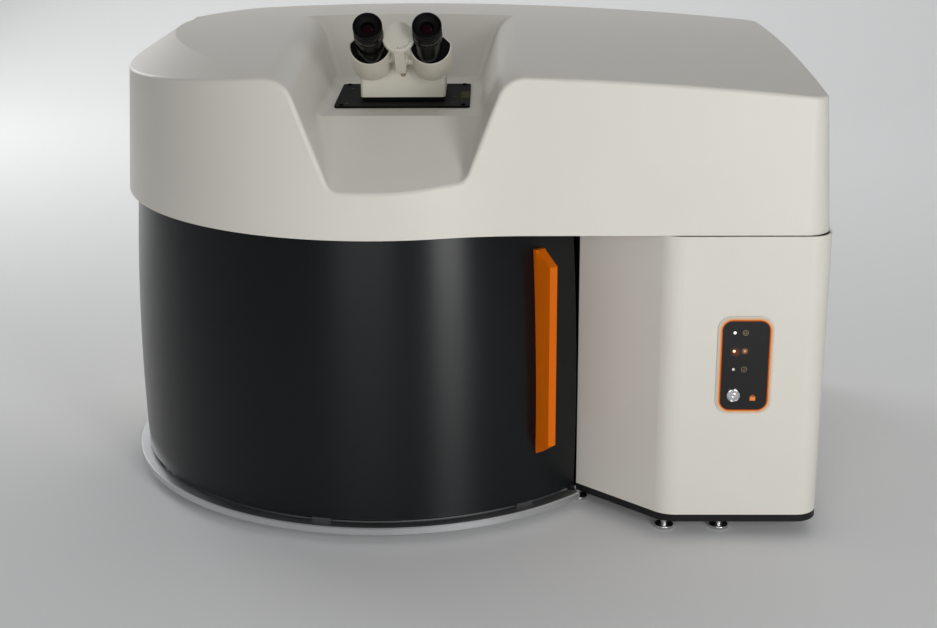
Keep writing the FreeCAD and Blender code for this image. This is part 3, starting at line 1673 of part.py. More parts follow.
# Rear fittings
def fan_frame():
    y0 = fan_depth_front()
    w = fan_frame_w / 2
    frame = box(fan_x - w, fan_x + w, y0, y0 + fan_frame_t, fan_z - w, fan_z + w)
    frame = frame.cut(cyl(fan_bore_r, V(fan_x, y0 - 1, fan_z), fan_frame_t + 2, V(0, 1, 0)))
    hub = cyl(fan_hub_r, V(fan_x, y0, fan_z), fan_hub_t, V(0, 1, 0))
    bars = [box(fan_x - fan_bore_r - 1, fan_x + fan_bore_r + 1, y0, y0 + 3, fan_z - fan_strut_w / 2,
                fan_z + fan_strut_w / 2),
            box(fan_x - fan_strut_w / 2, fan_x + fan_strut_w / 2, y0, y0 + 3, fan_z - fan_bore_r - 1,
                fan_z + fan_bore_r + 1)]
    frame = fuse([frame, hub] + bars)
    return frame.cut(cyl(fan_shaft_r + shaft_fit, V(fan_x, y0 - 1, fan_z), 20, V(0, 1, 0)))


def fan_rotor():
    y0 = fan_depth_front() + fan_hub_t + run_gap
    y1 = y0 + 15.0
    hub = cyl(fan_hub_r, V(fan_x, y0, fan_z), 15.0, V(0, 1, 0))
    shaft = cyl(fan_shaft_r, V(fan_x, y0 - 5, fan_z), 6.0, V(0, 1, 0))
    parts = [hub, shaft]
    for k in range(fan_blades):
        blade = box(fan_x + fan_hub_r - 2, fan_x + fan_blade_r, y0 + 6.5, y0 + 8.5, fan_z - 13, fan_z + 13)
        blade.rotate(V(fan_x, y0 + 7.5, fan_z), V(1, 0, 0), 28)
        blade = blade.common(box(fan_x, fan_x + 100, y0 + 0.5, y1 - 0.5, fan_z - 60, fan_z + 60))
        blade = blade.common(cyl(fan_blade_r, V(fan_x, y0, fan_z), 15.0, V(0, 1, 0)))
        blade.rotate(V(fan_x, 0, fan_z), V(0, 1, 0), 360.0 / fan_blades * k)
        parts.append(blade)
    return fuse(parts)


def mains_inlet():
    y0 = rear_panel_y - panel_t - inlet_depth
    body = box(inlet_x - inlet_w / 2, inlet_x + inlet_w / 2, y0, rear_panel_y, inlet_z - inlet_h / 2,
               inlet_z + inlet_h / 2)
    w = inlet_well_w / 2
    h = inlet_well_h / 2
    body = body.cut(box(inlet_x - w, inlet_x + w, y0 + socket_back, rear_panel_y + 1, inlet_z - h, inlet_z + h))
    pins = []
    for dx, dz in pin_places:
        x = inlet_x + dx
        z = inlet_z + dz
        pins.append(box(x - pin_w / 2, x + pin_w / 2, y0 + socket_back - 1, y0 + inlet_depth - socket_back,
                        z - pin_h / 2, z + pin_h / 2))
    return fuse([body] + pins)


def rocker_seat():
    y0 = rear_panel_y - panel_t - socket_depth
    w = rocker_w / 2 + rocker_rim
    h = rocker_h / 2 + rocker_rim
    body = box(rocker_x - w, rocker_x + w, y0, rear_panel_y, inlet_z - h, inlet_z + h)
    w = rocker_w / 2 + rocker_gap
    h = rocker_h / 2 + rocker_gap
    body = body.cut(box(rocker_x - w, rocker_x + w, y0 + 3, rear_panel_y + 1, inlet_z - h, inlet_z + h))
    start = V(rocker_x - rocker_w, rocker_pivot_y(), inlet_z)
    return body.cut(cyl(rocker_pin_r + shaft_fit, start, 2 * rocker_w, V(1, 0, 0)))


def rocker_pivot_y():
    return rear_panel_y - rocker_pivot_in


def rocker_switch():
    """The on/off rocker, tipped to its off side at rest."""
    py = rocker_pivot_y()
    w = rocker_w / 2
    h = rocker_h / 2
    outline = [
        (py - 2, -h * 0.5),
        (py + 3, -h + 0.5),
        (py + 5.2, -h + 1.5),
        (py + 3.6, 0),
        (py + 5.2, h - 1.5),
        (py + 3, h - 0.5),
        (py - 2, h * 0.5),
    ]
    corners = [V(rocker_x - w, y, inlet_z + z) for y, z in outline]
    face = Part.Face(Part.makePolygon(corners + [corners[0]]))
    body = face.extrude(V(rocker_w, 0, 0))
    pin = cyl(rocker_pin_r, V(rocker_x - w - 1.5, py, inlet_z), rocker_w + 3.0, V(1, 0, 0))
    body = fuse([body, pin])
    body.rotate(V(rocker_x, py, inlet_z), V(1, 0, 0), rocker_tip)
    return body


def rear_connectors():
    """Mains inlet, the rocker's seat and the row of data sockets."""
    return group([mains_inlet(), rocker_seat()] + data_ports())


def data_ports():
    ports = []
    for x in port_x:
        y0 = rear_panel_y - panel_t - socket_depth
        w = port_w / 2
        h = port_h / 2
        body = box(x - w, x + w, y0, rear_panel_y, port_z - h, port_z + h)
        w = w - port_wall
        h = h - port_wall
        ports.append(body.cut(box(x - w, x + w, y0 + 3, rear_panel_y + 1, port_z - h, port_z + h)))
    return ports


def all_nodes():
    nodes = {
        "base_plate": base_plate(),
        "levelling_feet": levelling_feet(),
        "door_track": door_track(),
        "deck_pillars": deck_pillars(),
        "upper_deck": upper_deck(),
        "hood_shell": hood_shell(),
        "hood_brackets": hood_brackets(),
        "slot_plate": slot_plate(),
        "drum_rear_shell": drum_rear_shell(),
        "chamber_partition": chamber_partition(),
        "cabinet_shell": cabinet_shell(),
        "rear_panel": rear_panel(),
        "door_skin": door_skin(),
        "door_fittings": door_fittings(),
        "door_handle": door_handle(),
        "lock_bolt": lock_bolt(),
        "lock_solenoid": lock_solenoid(),
        "status_bezel": status_bezel(),
        "status_trim": status_trim(),
        "status_glass": status_glass(),
        "status_housing": status_housing(),
        "lock_button": lock_button(),
        "microscope_stand": microscope_stand(),
        "focus_carriage": focus_carriage(),
        "stage_y_plate": stage_y_plate(),
        "stage_x_plate": stage_x_plate(),
        "specimen_slide": specimen_slide(),
        "nosepiece_mount": nosepiece_mount(),
        "nosepiece": nosepiece(),
        "objectives": objectives(),
        "illuminator_block": illuminator_block(),
        "head_tube": head_tube(),
        "filter_wheel": filter_wheel(),
        "wheel_motor": wheel_motor(),
        "fold_mirrors": fold_mirrors(),
        "binocular_riser": binocular_riser(),
        "binocular_body": binocular_block(),
        "hinge_disc": hinge_disc(),
        "dioptre_ring": dioptre_ring(),
        "optics_shelf": optics_shelf(),
        "spectrometer_case": spectrometer_case(),
        "spectrometer_cover": spectrometer_cover(),
        "case_optics": case_optics(),
        "grating_turret": grating_turret(),
        "ccd_detector": ccd_detector(),
        "laser_module": laser_module(),
        "power_supply": power_supply(),
        "control_board": control_board(),
        "fan_frame": fan_frame(),
        "fan_rotor": fan_rotor(),
        "rear_connectors": rear_connectors(),
        "rocker_switch": rocker_switch(),
    }
    for name, side in (("left", -1), ("right", 1)):
        nodes[name + "_prism_housing"] = prism_housing(side)
        nodes[name + "_eyepiece_tube"] = tube_and_face(side)
        nodes[name + "_eyepiece"] = eyepiece_and_cup(side)
        nodes[name + "_eye_lens"] = eye_lens(side)
    return nodes


if __name__ == "__main__":
    os.makedirs("parts", exist_ok=True)
    for name, shape in all_nodes().items():
        shape.exportStep("parts/" + name + ".step")
        b = shape.BoundBox
        sides = (b.XMin, b.XMax, b.YMin, b.YMax, b.ZMin, b.ZMax)
        print("%-20s %2d solids, valid %s," % (name, len(shape.Solids), shape.isValid()),
              "x %.1f..%.1f y %.1f..%.1f z %.1f..%.1f" % sides)
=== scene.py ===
# %% [markdown]
# A raman microscope, dressed for the camera.
# The solids of the instrument come packed from the CAD step. This file loads them, gives each
# one its real finish, swaps a few for finer pieces, and adds the small things that sell the
# scale of the object: knurls, screws, marks on the panel, a fan guard, vents.
# Everything is in metres, and each piece rides on the body that it moves with.

# %% Load the frame
import bmesh
import bpy
import json
import math
from mathutils import Matrix, Vector


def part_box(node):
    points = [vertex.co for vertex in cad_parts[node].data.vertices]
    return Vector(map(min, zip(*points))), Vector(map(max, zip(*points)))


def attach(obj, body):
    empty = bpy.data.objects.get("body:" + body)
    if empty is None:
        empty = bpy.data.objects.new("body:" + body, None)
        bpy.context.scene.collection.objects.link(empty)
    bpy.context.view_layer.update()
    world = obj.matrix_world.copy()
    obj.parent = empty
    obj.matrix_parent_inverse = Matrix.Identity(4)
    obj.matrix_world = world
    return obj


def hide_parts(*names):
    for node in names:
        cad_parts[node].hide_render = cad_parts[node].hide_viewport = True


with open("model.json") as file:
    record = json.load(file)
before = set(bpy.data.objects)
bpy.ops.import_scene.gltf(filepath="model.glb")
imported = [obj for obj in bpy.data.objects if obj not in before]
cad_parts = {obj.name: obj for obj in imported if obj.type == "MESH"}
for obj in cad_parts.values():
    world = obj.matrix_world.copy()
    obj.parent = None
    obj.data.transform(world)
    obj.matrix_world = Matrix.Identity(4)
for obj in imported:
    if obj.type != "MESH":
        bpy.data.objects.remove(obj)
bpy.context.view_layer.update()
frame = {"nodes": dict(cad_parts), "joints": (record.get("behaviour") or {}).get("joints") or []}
joints = {j["name"]: j for j in frame["joints"]}

# %% [markdown]
# The camera stands where the photographer stood. Its place, its lens and its turn were solved
# from the grid of tapped holes that the instrument stands on, so the picture can be laid over
# the photograph. Three rows give the camera's own axes: to the right, up, and back.

# %% Camera
camera = bpy.data.objects.new("camera", bpy.data.cameras.new("camera"))
bpy.context.collection.objects.link(camera)
camera.data.lens = 63.19
camera.data.sensor_width = 36.0
lean_x, lean_y, lean_z = 1.8866, 0.0126, -0.0011
turn = Matrix.Rotation(lean_z, 3, "Z") @ Matrix.Rotation(lean_y, 3, "Y") @ Matrix.Rotation(lean_x, 3, "X")
axes = Matrix((turn[0], -turn[1], -turn[2])).transposed()
camera.matrix_world = Matrix.Translation((0.04566, -2.32115, 0.97121)) @ axes.to_4x4()
bpy.context.scene.camera = camera
print("camera looks along", [round(v, 3) for v in turn[2]])


# %% [markdown]
# The stage is a pale sheet that runs from the floor up into a wall with a wide bend, as in a
# product studio. A sheet bent like this has no horizon line behind the object.

# %% Floor and backdrop
def object_from(bm, name, material=None):
    """Turn a bmesh into an object of the scene, in one material where one is given."""
    mesh = bpy.data.meshes.new(name)
    bm.to_mesh(mesh)
    bm.free()
    if material:
        mesh.materials.append(material)
    obj = bpy.data.objects.new(name, mesh)
    bpy.context.collection.objects.link(obj)
    return obj


def sweep_sheet():
    bend, depth, height = 1.6, 2.6, 7.0
    near, half_width, steps = -9.0, 14.0, 16
    line = [(near, 0.0)]
    for k in range(steps + 1):
        a = math.radians(90.0 * k / steps)
        line.append((depth + bend * math.sin(a), bend * (1 - math.cos(a))))
    line.append((depth + bend, height))
    bm = bmesh.new()
    rows = [[bm.verts.new((x, y, z)) for y, z in line] for x in (-half_width, half_width)]
    for k in range(len(line) - 1):
        bm.faces.new((rows[0][k], rows[1][k], rows[1][k + 1], rows[0][k + 1])).smooth = True
    return object_from(bm, "backdrop")


backdrop = sweep_sheet()
backdrop_paint = bpy.data.materials.new("backdrop_paint")
backdrop_paint.use_nodes = True
shader = backdrop_paint.node_tree.nodes["Principled BSDF"]
shader.inputs["Base Color"].default_value = (0.88, 0.88, 0.88, 1)
shader.inputs["Roughness"].default_value = 0.9
backdrop.data.materials.append(backdrop_paint)
print("backdrop strips:", len(backdrop.data.polygons))


# %% [markdown]
# The light in the picture comes from in front and a little above, so walls that face the
# viewer are bright and the roof is a step darker. A tall soft lamp that stands on the floor, in
# front and to the right, does that, and it draws the upright streak down the door. Wide, weaker
# lamps fill the other sides, and one that faces away from the object lifts the backdrop.

# %% Lamps and world
def soft_lamp(name, place, target, width, height, watts):
    lamp = bpy.data.lights.new(name, "AREA")
    lamp.shape = "RECTANGLE"
    lamp.size, lamp.size_y = width, height
    lamp.energy = watts
    obj = bpy.data.objects.new(name, lamp)
    aim = (Vector(target) - Vector(place)).to_track_quat("-Z", "Y")
    obj.matrix_world = Matrix.Translation(place) @ aim.to_matrix().to_4x4()
    bpy.context.collection.objects.link(obj)


soft_lamp("front_lamp", (1.25, -2.55, 0.75), (0.0, -0.2, 0.38), 0.6, 1.4, 26.0)
soft_lamp("middle_lamp", (-0.5, -3.2, 1.0), (0.0, -0.2, 0.4), 1.4, 0.8, 15.0)
soft_lamp("left_lamp", (-2.6, -0.9, 1.5), (-0.2, 0.0, 0.4), 1.0, 1.2, 0.8)
soft_lamp("top_lamp", (1.2, -1.3, 2.3), (-0.1, -0.05, 0.6), 0.9, 0.9, 1.8)
soft_lamp("wall_lamp", (0.0, 1.3, 3.3), (0.0, 4.0, 1.1), 5.0, 0.7, 60.0)
soft_lamp("rear_lamp", (-2.3, 2.4, 1.4), (0.0, 0.2, 0.4), 1.6, 1.2, 24.0)

world = bpy.data.worlds.new("studio")
bpy.context.scene.world = world
world.use_nodes = True
nodes, links = world.node_tree.nodes, world.node_tree.links
ray = nodes.new("ShaderNodeLightPath")
level = nodes.new("ShaderNodeMapRange")
level.inputs["To Min"].default_value = 0.20
level.inputs["To Max"].default_value = 0.75
links.new(ray.outputs["Is Camera Ray"], level.inputs["Value"])
nodes["Background"].inputs["Color"].default_value = (0.95, 0.97, 1.0, 1)
links.new(level.outputs[0], nodes["Background"].inputs["Strength"])
bpy.context.scene.view_settings.view_transform = "Standard"
print("lamps:", len(bpy.data.lights))


# %% [markdown]
# Paint is never one flat colour. A broad noise moves the colour by a percent or two, as a
# sprayed coat does, and a fine one lifts the surface a little: the orange peel of a satin coat.
# Both read the object's own coordinates, so they stay put when the piece moves. One function
# makes every finish, and one small helper adds a node with its options and its inputs.

# %% Paint
finishes = {}


def node(tree, kind, feeds=(), **settings):
    """One node: settings are its options, feeds its inputs as (name or number, value or output)."""
    made = tree.nodes.new(kind)
    for key, value in settings.items():
        setattr(made, key, value)
    for socket, value in feeds:
        if isinstance(value, bpy.types.NodeSocket):
            tree.links.new(value, made.inputs[socket])
        else:
            made.inputs[socket].default_value = value
    return made


def surface(name, colour, roughness, grain, bump, drift=0.03, spread=0.05, sockets=None):
    """A finish with a drifting colour, a drifting roughness and a fine grain, kept under its name."""
    finishes[name] = bpy.data.materials.new(name)
    finishes[name].use_nodes = True
    tree = finishes[name].node_tree
    shader = tree.nodes["Principled BSDF"]
    place = node(tree, "ShaderNodeTexCoord").outputs["Object"]
    broad = node(tree, "ShaderNodeTexNoise", [("Vector", place), ("Scale", 6.0), ("Detail", 3.0)])
    tint = node(tree, "ShaderNodeValToRGB", [("Fac", broad.outputs["Fac"])])
    ends = tint.color_ramp.elements
    ends[0].position, ends[1].position = 0.3, 0.7
    ends[0].color = [c * (1 - drift) for c in colour] + [1]
    ends[1].color = [min(1.0, c * (1 + drift)) for c in colour] + [1]
    rough = node(tree, "ShaderNodeMapRange", [("Value", broad.outputs["Fac"]),
                                              ("To Min", max(0.02, roughness - spread)),
                                              ("To Max", roughness + spread)])
    fine = node(tree, "ShaderNodeTexNoise", [("Vector", place), ("Scale", grain), ("Detail", 2.0)])
    lift = node(tree, "ShaderNodeBump", [("Height", fine.outputs["Fac"]), ("Strength", bump),
                                         ("Distance", 0.0004)])
    tree.links.new(tint.outputs["Color"], shader.inputs["Base Color"])
    tree.links.new(rough.outputs[0], shader.inputs["Roughness"])
    tree.links.new(lift.outputs["Normal"], shader.inputs["Normal"])
    for socket, value in (sockets or {}).items():
        shader.inputs[socket].default_value = value
    return shader


surface("hood_paint", (0.74, 0.71, 0.64), 0.42, 900, 0.08, 0.015, sockets={"Specular IOR Level": 0.45})
surface("cabinet_paint", (0.74, 0.71, 0.64), 0.42, 900, 0.08, 0.015)
surface("rear_paint", (0.62, 0.60, 0.57), 0.45, 1100, 0.10, 0.02)
shader = surface("door_paint", (0.0014, 0.0024, 0.0036), 0.34, 1500, 0.06, 0.04, sockets={
    "Specular IOR Level": 0.34, "Anisotropic": 0.85, "Anisotropic Rotation": 0.25})
radial = node(shader.id_data, "ShaderNodeTangent", direction_type="RADIAL", axis="Z")
shader.id_data.links.new(radial.outputs[0], shader.inputs["Tangent"])
surface("cream_paint", (0.66, 0.63, 0.54), 0.45, 1800, 0.15, 0.02)
surface("base_paint", (0.008, 0.008, 0.009), 0.45, 1600, 0.25, 0.1, sockets={"Specular IOR Level": 0.25})
surface("plate_paint", (0.0045, 0.0045, 0.005), 0.6, 1600, 0.15, 0.1, sockets={"IOR": 1.12})
surface("tube_enamel", (0.003, 0.003, 0.0035), 0.24, 2200, 0.05, 0.08, sockets={"IOR": 1.22})
surface("stand_paint", (0.52, 0.52, 0.51), 0.5, 1500, 0.2, 0.03)
surface("liner_paint", (0.035, 0.035, 0.04), 0.6, 1500, 0.2, 0.08)
surface("cup_rubber", (0.0035, 0.0035, 0.004), 0.5, 2600, 0.3, 0.15, 0.08, {"IOR": 1.2})
surface("glide_plastic", (0.05, 0.05, 0.055), 0.5, 2000, 0.1)
surface("board_mask", (0.01, 0.11, 0.04), 0.3, 700, 0.1, 0.1)
surface("fan_plastic", (0.015, 0.015, 0.016), 0.45, 2400, 0.2, 0.1)
surface("socket_plastic", (0.012, 0.012, 0.013), 0.4, 2400, 0.1, 0.1)
surface("olive_film", (0.055, 0.052, 0.012), 0.6, 2000, 0.05, 0.05, sockets={"IOR": 1.12})
surface("white_ink", (0.75, 0.75, 0.74), 0.5, 2500, 0.05)
surface("pale_gloss", (0.66, 0.65, 0.62), 0.3, 2000, 0.03, 0.01)
print("paints:", len(finishes))

# %% [markdown]
# The handle is moulded in a bright orange. A thin clear coat on top of the colour gives the crisp
# reflection of a polished mould, and costs nothing but two sockets on the same shader.

# %% Orange plastic
surface("orange_gloss", (0.76, 0.150, 0.002), 0.36, 1400, 0.03, 0.03, sockets={
    "Specular IOR Level": 0.12, "Coat Weight": 0.05, "Coat Roughness": 0.12})
print("handle finish:", finishes["orange_gloss"].name)

# %% [markdown]
# The frame of the status panel is the same orange, but it isn't one colour: its outer slope is painted a
# pale peach, a painted highlight where the bevel catches the light, and its inner edge a deep brown-orange,
# painted shade. Two meshes with two paints would leave a hard seam. Instead the nodes work out how far a
# point is from the frame's rounded outline, with the usual distance to a rounded box, and a ramp turns that
# distance into the colour, with its painted light and shade.


# %% Frame of the panel
def own_place(tree):
    """The output of a finish that gives the object's own coordinates."""
    return next(n for n in tree.nodes if n.type == "TEX_COORD").outputs["Object"]


def trim_painted_light():
    """Orange with a painted highlight, pale on the outer slope of the frame, and painted shade, deep at its
    inner edge.
    """
    shader = surface("trim_orange_painted_light", (0.76, 0.150, 0.002), 0.32, 1400, 0.03, 0.03,
                     sockets={"Specular IOR Level": 0.2})
    tree = shader.id_data
    low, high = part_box("status_trim")
    corner, trim_width = 0.018, 0.0048
    middle = [(low[k] + high[k]) / 2 for k in range(3)]
    straight = ((high[0] - low[0]) / 2 - corner, 0, (high[2] - low[2]) / 2 - corner)

    def vector_step(operation, source, value=None):
        feeds = [(0, source)] + ([(1, value)] if value is not None else [])
        made = node(tree, "ShaderNodeVectorMath", feeds, operation=operation)
        return made.outputs["Value" if operation == "LENGTH" else "Vector"]

    folded = vector_step("ABSOLUTE", vector_step("SUBTRACT", own_place(tree), middle))
    past = vector_step("SUBTRACT", vector_step("MULTIPLY", folded, (1, 0, 1)), straight)
    round_part = vector_step("LENGTH", vector_step("MAXIMUM", past, (0, 0, 0)))
    axes = node(tree, "ShaderNodeSeparateXYZ", [(0, past)])
    larger = node(tree, "ShaderNodeMath", [(0, axes.outputs["X"]), (1, axes.outputs["Z"])],
                  operation="MAXIMUM")
    inside = node(tree, "ShaderNodeMath", [(0, larger.outputs[0]), (1, 0.0)], operation="MINIMUM")
    total = node(tree, "ShaderNodeMath", [(0, round_part), (1, inside.outputs[0])], operation="ADD")
    share = node(tree, "ShaderNodeMapRange", [("Value", total.outputs[0]),
                                              ("From Min", corner - trim_width), ("From Max", corner)])
    ramp = node(tree, "ShaderNodeValToRGB", [("Fac", share.outputs[0])])
    # Painted shade at the inner edge, running out to a painted highlight on the outer slope.
    ramp.color_ramp.elements[0].color = (0.26, 0.030, 0.001, 1)
    ramp.color_ramp.elements[1].color = (0.74, 0.54, 0.40, 1)
    for position, colour in ((0.16, (0.66, 0.12, 0.002, 1)), (0.38, (0.78, 0.21, 0.02, 1)),
                             (0.52, (0.76, 0.44, 0.24, 1))):
        ramp.color_ramp.elements.new(position).color = colour
    tree.links.new(ramp.outputs["Color"], shader.inputs["Base Color"])


trim_painted_light()
print("finishes so far:", len(finishes))


# %% [markdown]
# Metal shows how it was made. Turned parts carry rings round their axis, plates carry long
# straight hairs. Both are one noise, stretched hard along one direction.

# %% Metal
def brushed(name, colour, roughness, stretch, bump=0.15):
    """A metal whose grain is stretched: small numbers in stretch make long hairs that way."""
    tree = surface(name, colour, roughness, 1.0, bump, 0.05, 0.08, {"Metallic": 1.0}).id_data
    hairs = next(n for n in tree.nodes if n.type == "TEX_NOISE" and n.inputs["Scale"].default_value == 1.0)
    scale = node(tree, "ShaderNodeMapping", [("Vector", own_place(tree)), ("Scale", stretch)])
    tree.links.new(scale.outputs["Vector"], hairs.inputs["Vector"])


brushed("ring_metal", (0.66, 0.67, 0.68), 0.42, (60, 60, 2500), 0.1)
brushed("foot_metal", (0.62, 0.62, 0.63), 0.25, (40, 40, 3000))
brushed("frame_metal", (0.50, 0.51, 0.52), 0.4, (1500, 40, 40))
brushed("bolt_metal", (0.55, 0.55, 0.56), 0.22, (40, 40, 2500))
brushed("button_metal", (0.72, 0.72, 0.73), 0.2, (900, 20, 900), 0.1)
brushed("chrome_metal", (0.68, 0.68, 0.69), 0.18, (50, 50, 1800), 0.06)
brushed("tube_metal", (0.50, 0.50, 0.51), 0.35, (50, 50, 1800))
brushed("black_anodised", (0.035, 0.035, 0.038), 0.45, (1200, 60, 60), 0.1)
brushed("grey_anodised", (0.16, 0.16, 0.17), 0.42, (60, 1200, 60), 0.1)
brushed("sheet_metal", (0.60, 0.61, 0.62), 0.38, (60, 1500, 60))
brushed("brass_metal", (0.62, 0.42, 0.16), 0.25, (60, 1500, 60), 0.05)
brushed("aged_brass", (0.20, 0.155, 0.09), 0.38, (60, 1500, 60), 0.05)
print("finishes:", len(finishes))

# %% [markdown]
# The eyepiece lenses are dark from outside, because hardly any light comes back out of the tube. What shows
# is the lamp, mirrored by the domed front face, and the coating tints that mirror image a deep red-violet.
# The glass slide is clear, and the panel window is black gloss with a painted glow round its middle lamp.

# %% Glass
surface("coated_lens", (0.006, 0.002, 0.004), 0.07, 50, 0.0, 0.2, 0.01,
        {"Specular Tint": (1.0, 0.22, 0.30, 1), "IOR": 1.32})
surface("slide_glass", (0.85, 0.92, 0.90), 0.04, 50, 0.0, 0.01, 0.01, {"Transmission Weight": 0.9})


def window_painted_glow():
    """Black gloss with a faint warm painted glow round the middle lamp: emission on the glass that fades
    with distance.
    """
    shader = surface("window_gloss_painted_glow", (0.006, 0.006, 0.007), 0.12, 300, 0.01, 0.1, 0.02,
                     {"Emission Color": (1.0, 0.20, 0.04, 1)})
    tree = shader.id_data
    # Painted glow: the glass itself emits a warm light round the middle lamp.
    painted_glow_centre = (lamp_x + 0.002, panel_face, lamp_rows[1] - 0.001)
    away = node(tree, "ShaderNodeVectorMath", [(0, own_place(tree)), (1, painted_glow_centre)], operation="DISTANCE")
    fade = node(tree, "ShaderNodeMapRange", [("Value", away.outputs["Value"]), ("From Min", 0.009),
                                             ("From Max", 0.0), ("To Max", 0.12)],
                interpolation_type="SMOOTHERSTEP")
    tree.links.new(fade.outputs[0], shader.inputs["Emission Strength"])


lamp_x = 0.3622
lamp_rows = (0.2887, 0.2637, 0.2387)
panel_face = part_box("status_glass")[0][1]
window_painted_glow()


# Emission: real light for the three lamps, painted glow for the printed marks.
def lamp_light_and_painted_glow(name, colour, strength):
    surface(name, [c * 0.6 for c in colour], 0.3, 400, 0.0,
            sockets={"Emission Color": (*colour, 1), "Emission Strength": strength})


lamp_light_and_painted_glow("white_lamp", (1.0, 0.93, 0.82), 1.6)
lamp_light_and_painted_glow("amber_lamp", (1.0, 0.55, 0.25), 1.8)
lamp_light_and_painted_glow("dim_lamp", (0.8, 0.75, 0.7), 0.35)
# The marks are print, not lamps: their emission is painted glow.
lamp_light_and_painted_glow("amber_mark_painted_glow", (0.50, 0.25, 0.09), 0.8)
lamp_light_and_painted_glow("lock_mark_painted_glow", (0.58, 0.16, 0.02), 0.8)
lamp_light_and_painted_glow("pale_mark_painted_glow", (0.40, 0.33, 0.15), 0.14)
print("window face at y", round(panel_face, 4))


# %% [markdown]
# Most solids keep their CAD shape and only get their finish. A dictionary pairs each finish with
# the nodes that wear it, which reads like the maker's own finish list.

# %% Finish list
finish_list = {
    "hood_paint": ["hood_shell"],
    "cabinet_paint": ["cabinet_shell", "drum_rear_shell"],
    "rear_paint": ["rear_panel"],
    "door_paint": ["door_skin"],
    "orange_gloss": ["door_handle"],
    "trim_orange_painted_light": ["status_trim"],
    "ring_metal": ["door_track"],
    "base_paint": ["base_plate"],
    "foot_metal": ["levelling_feet"],
    "plate_paint": ["slot_plate", "binocular_riser"],
    "cream_paint": ["binocular_body", "left_prism_housing", "right_prism_housing", "hinge_disc"],
    "tube_enamel": ["left_eyepiece_tube", "right_eyepiece_tube", "dioptre_ring"],
    "cup_rubber": ["left_eyepiece", "right_eyepiece"],
    "coated_lens": ["left_eye_lens", "right_eye_lens"],
    "slide_glass": ["specimen_slide"],
    "window_gloss_painted_glow": ["status_glass"],
    "pale_gloss": ["status_bezel"],
    "button_metal": ["lock_button"],
    "frame_metal": ["upper_deck", "deck_pillars", "hood_brackets"],
    "liner_paint": ["chamber_partition", "status_housing"],
    "bolt_metal": ["lock_bolt", "lock_solenoid"],
    "glide_plastic": ["door_fittings"],
    "stand_paint": ["microscope_stand", "illuminator_block", "nosepiece_mount"],
    "black_anodised": ["focus_carriage", "stage_y_plate", "stage_x_plate", "filter_wheel", "fold_mirrors",
                       "spectrometer_case", "spectrometer_cover", "case_optics", "grating_turret",
                       "optics_shelf"],
    "chrome_metal": ["objectives", "nosepiece"],
    "tube_metal": ["head_tube"],
    "grey_anodised": ["wheel_motor", "ccd_detector", "laser_module"],
    "sheet_metal": ["power_supply"],
    "board_mask": ["control_board"],
    "fan_plastic": ["fan_frame", "fan_rotor"],
    "socket_plastic": ["rear_connectors", "rocker_switch"],
}
for finish, names in finish_list.items():
    for name in names:
        mesh = frame["nodes"][name].data
        if not mesh.materials:
            mesh.materials.append(finishes[finish])
        for k in range(len(mesh.materials)):
            mesh.materials[k] = finishes[finish]
print("dressed:", sum(len(names) for names in finish_list.values()))


# %% [markdown]
# Turned pieces, such as an eyepiece, are a profile spun round an axis. Writing the rings by hand
# keeps the poles closed and the faces outwards, which Blender's spin tool leaves to you.

# %% Lathe
def lathe(name, profile, origin, axis, finish, steps=64, loop=False):
    """Spin (distance along the axis, radius) points about an axis. loop joins the last to the first."""
    axis = Vector(axis).normalized()
    side = axis.orthogonal().normalized()
    other = axis.cross(side)
    bm = bmesh.new()
    rings = []
    for s, r in profile:
        centre = Vector(origin) + axis * s
        if r == 0:
            rings.append([bm.verts.new(centre)])
            continue
        angles = [2 * math.pi * k / steps for k in range(steps)]
        spots = [centre + side * r * math.cos(a) + other * r * math.sin(a) for a in angles]
        rings.append([bm.verts.new(spot) for spot in spots])
    pairs = list(zip(rings, rings[1:])) + ([(rings[-1], rings[0])] if loop else [])
    for one, two in pairs:
        for k in range(steps):
            after = (k + 1) % steps
            ends = [one[k % len(one)], one[after % len(one)], two[after % len(two)], two[k % len(two)]]
            corners = list(dict.fromkeys(ends))
            if len(corners) > 2:
                bm.faces.new(corners)
    bmesh.ops.recalc_face_normals(bm, faces=bm.faces)
    for edge in bm.edges:
        edge.smooth = edge.calc_face_angle(0) < math.radians(32)
    for face in bm.faces:
        face.smooth = True
    return object_from(bm, name, finishes[finish])


def band_profile(middle, half, inner, outer):
    """The four corners of a flat ring, as (distance along the axis, radius)."""
    return [(middle - half, inner), (middle - half, outer), (middle + half, outer), (middle + half, inner)]


print("a round piece has", lathe.__defaults__[0], "steps unless it asks for more")


# %% [markdown]
# The eyepieces are what the eye goes to first. Each is a rubber cup with a rolled rim, a waist,
# a black barrel with turned steps, two hair-thin bright rings and a domed coated lens deep in
# the cup. The tube direction comes from the fold joint's own axis, so the pieces line up with
# the solids without any fitting.

# %% Eyepieces
tube_way = Vector(joints["right_fold"]["axis"]).normalized()
eye_middle = Vector(joints["right_fold"]["pos_m"])
half_gap = 0.03775
mm = 0.001

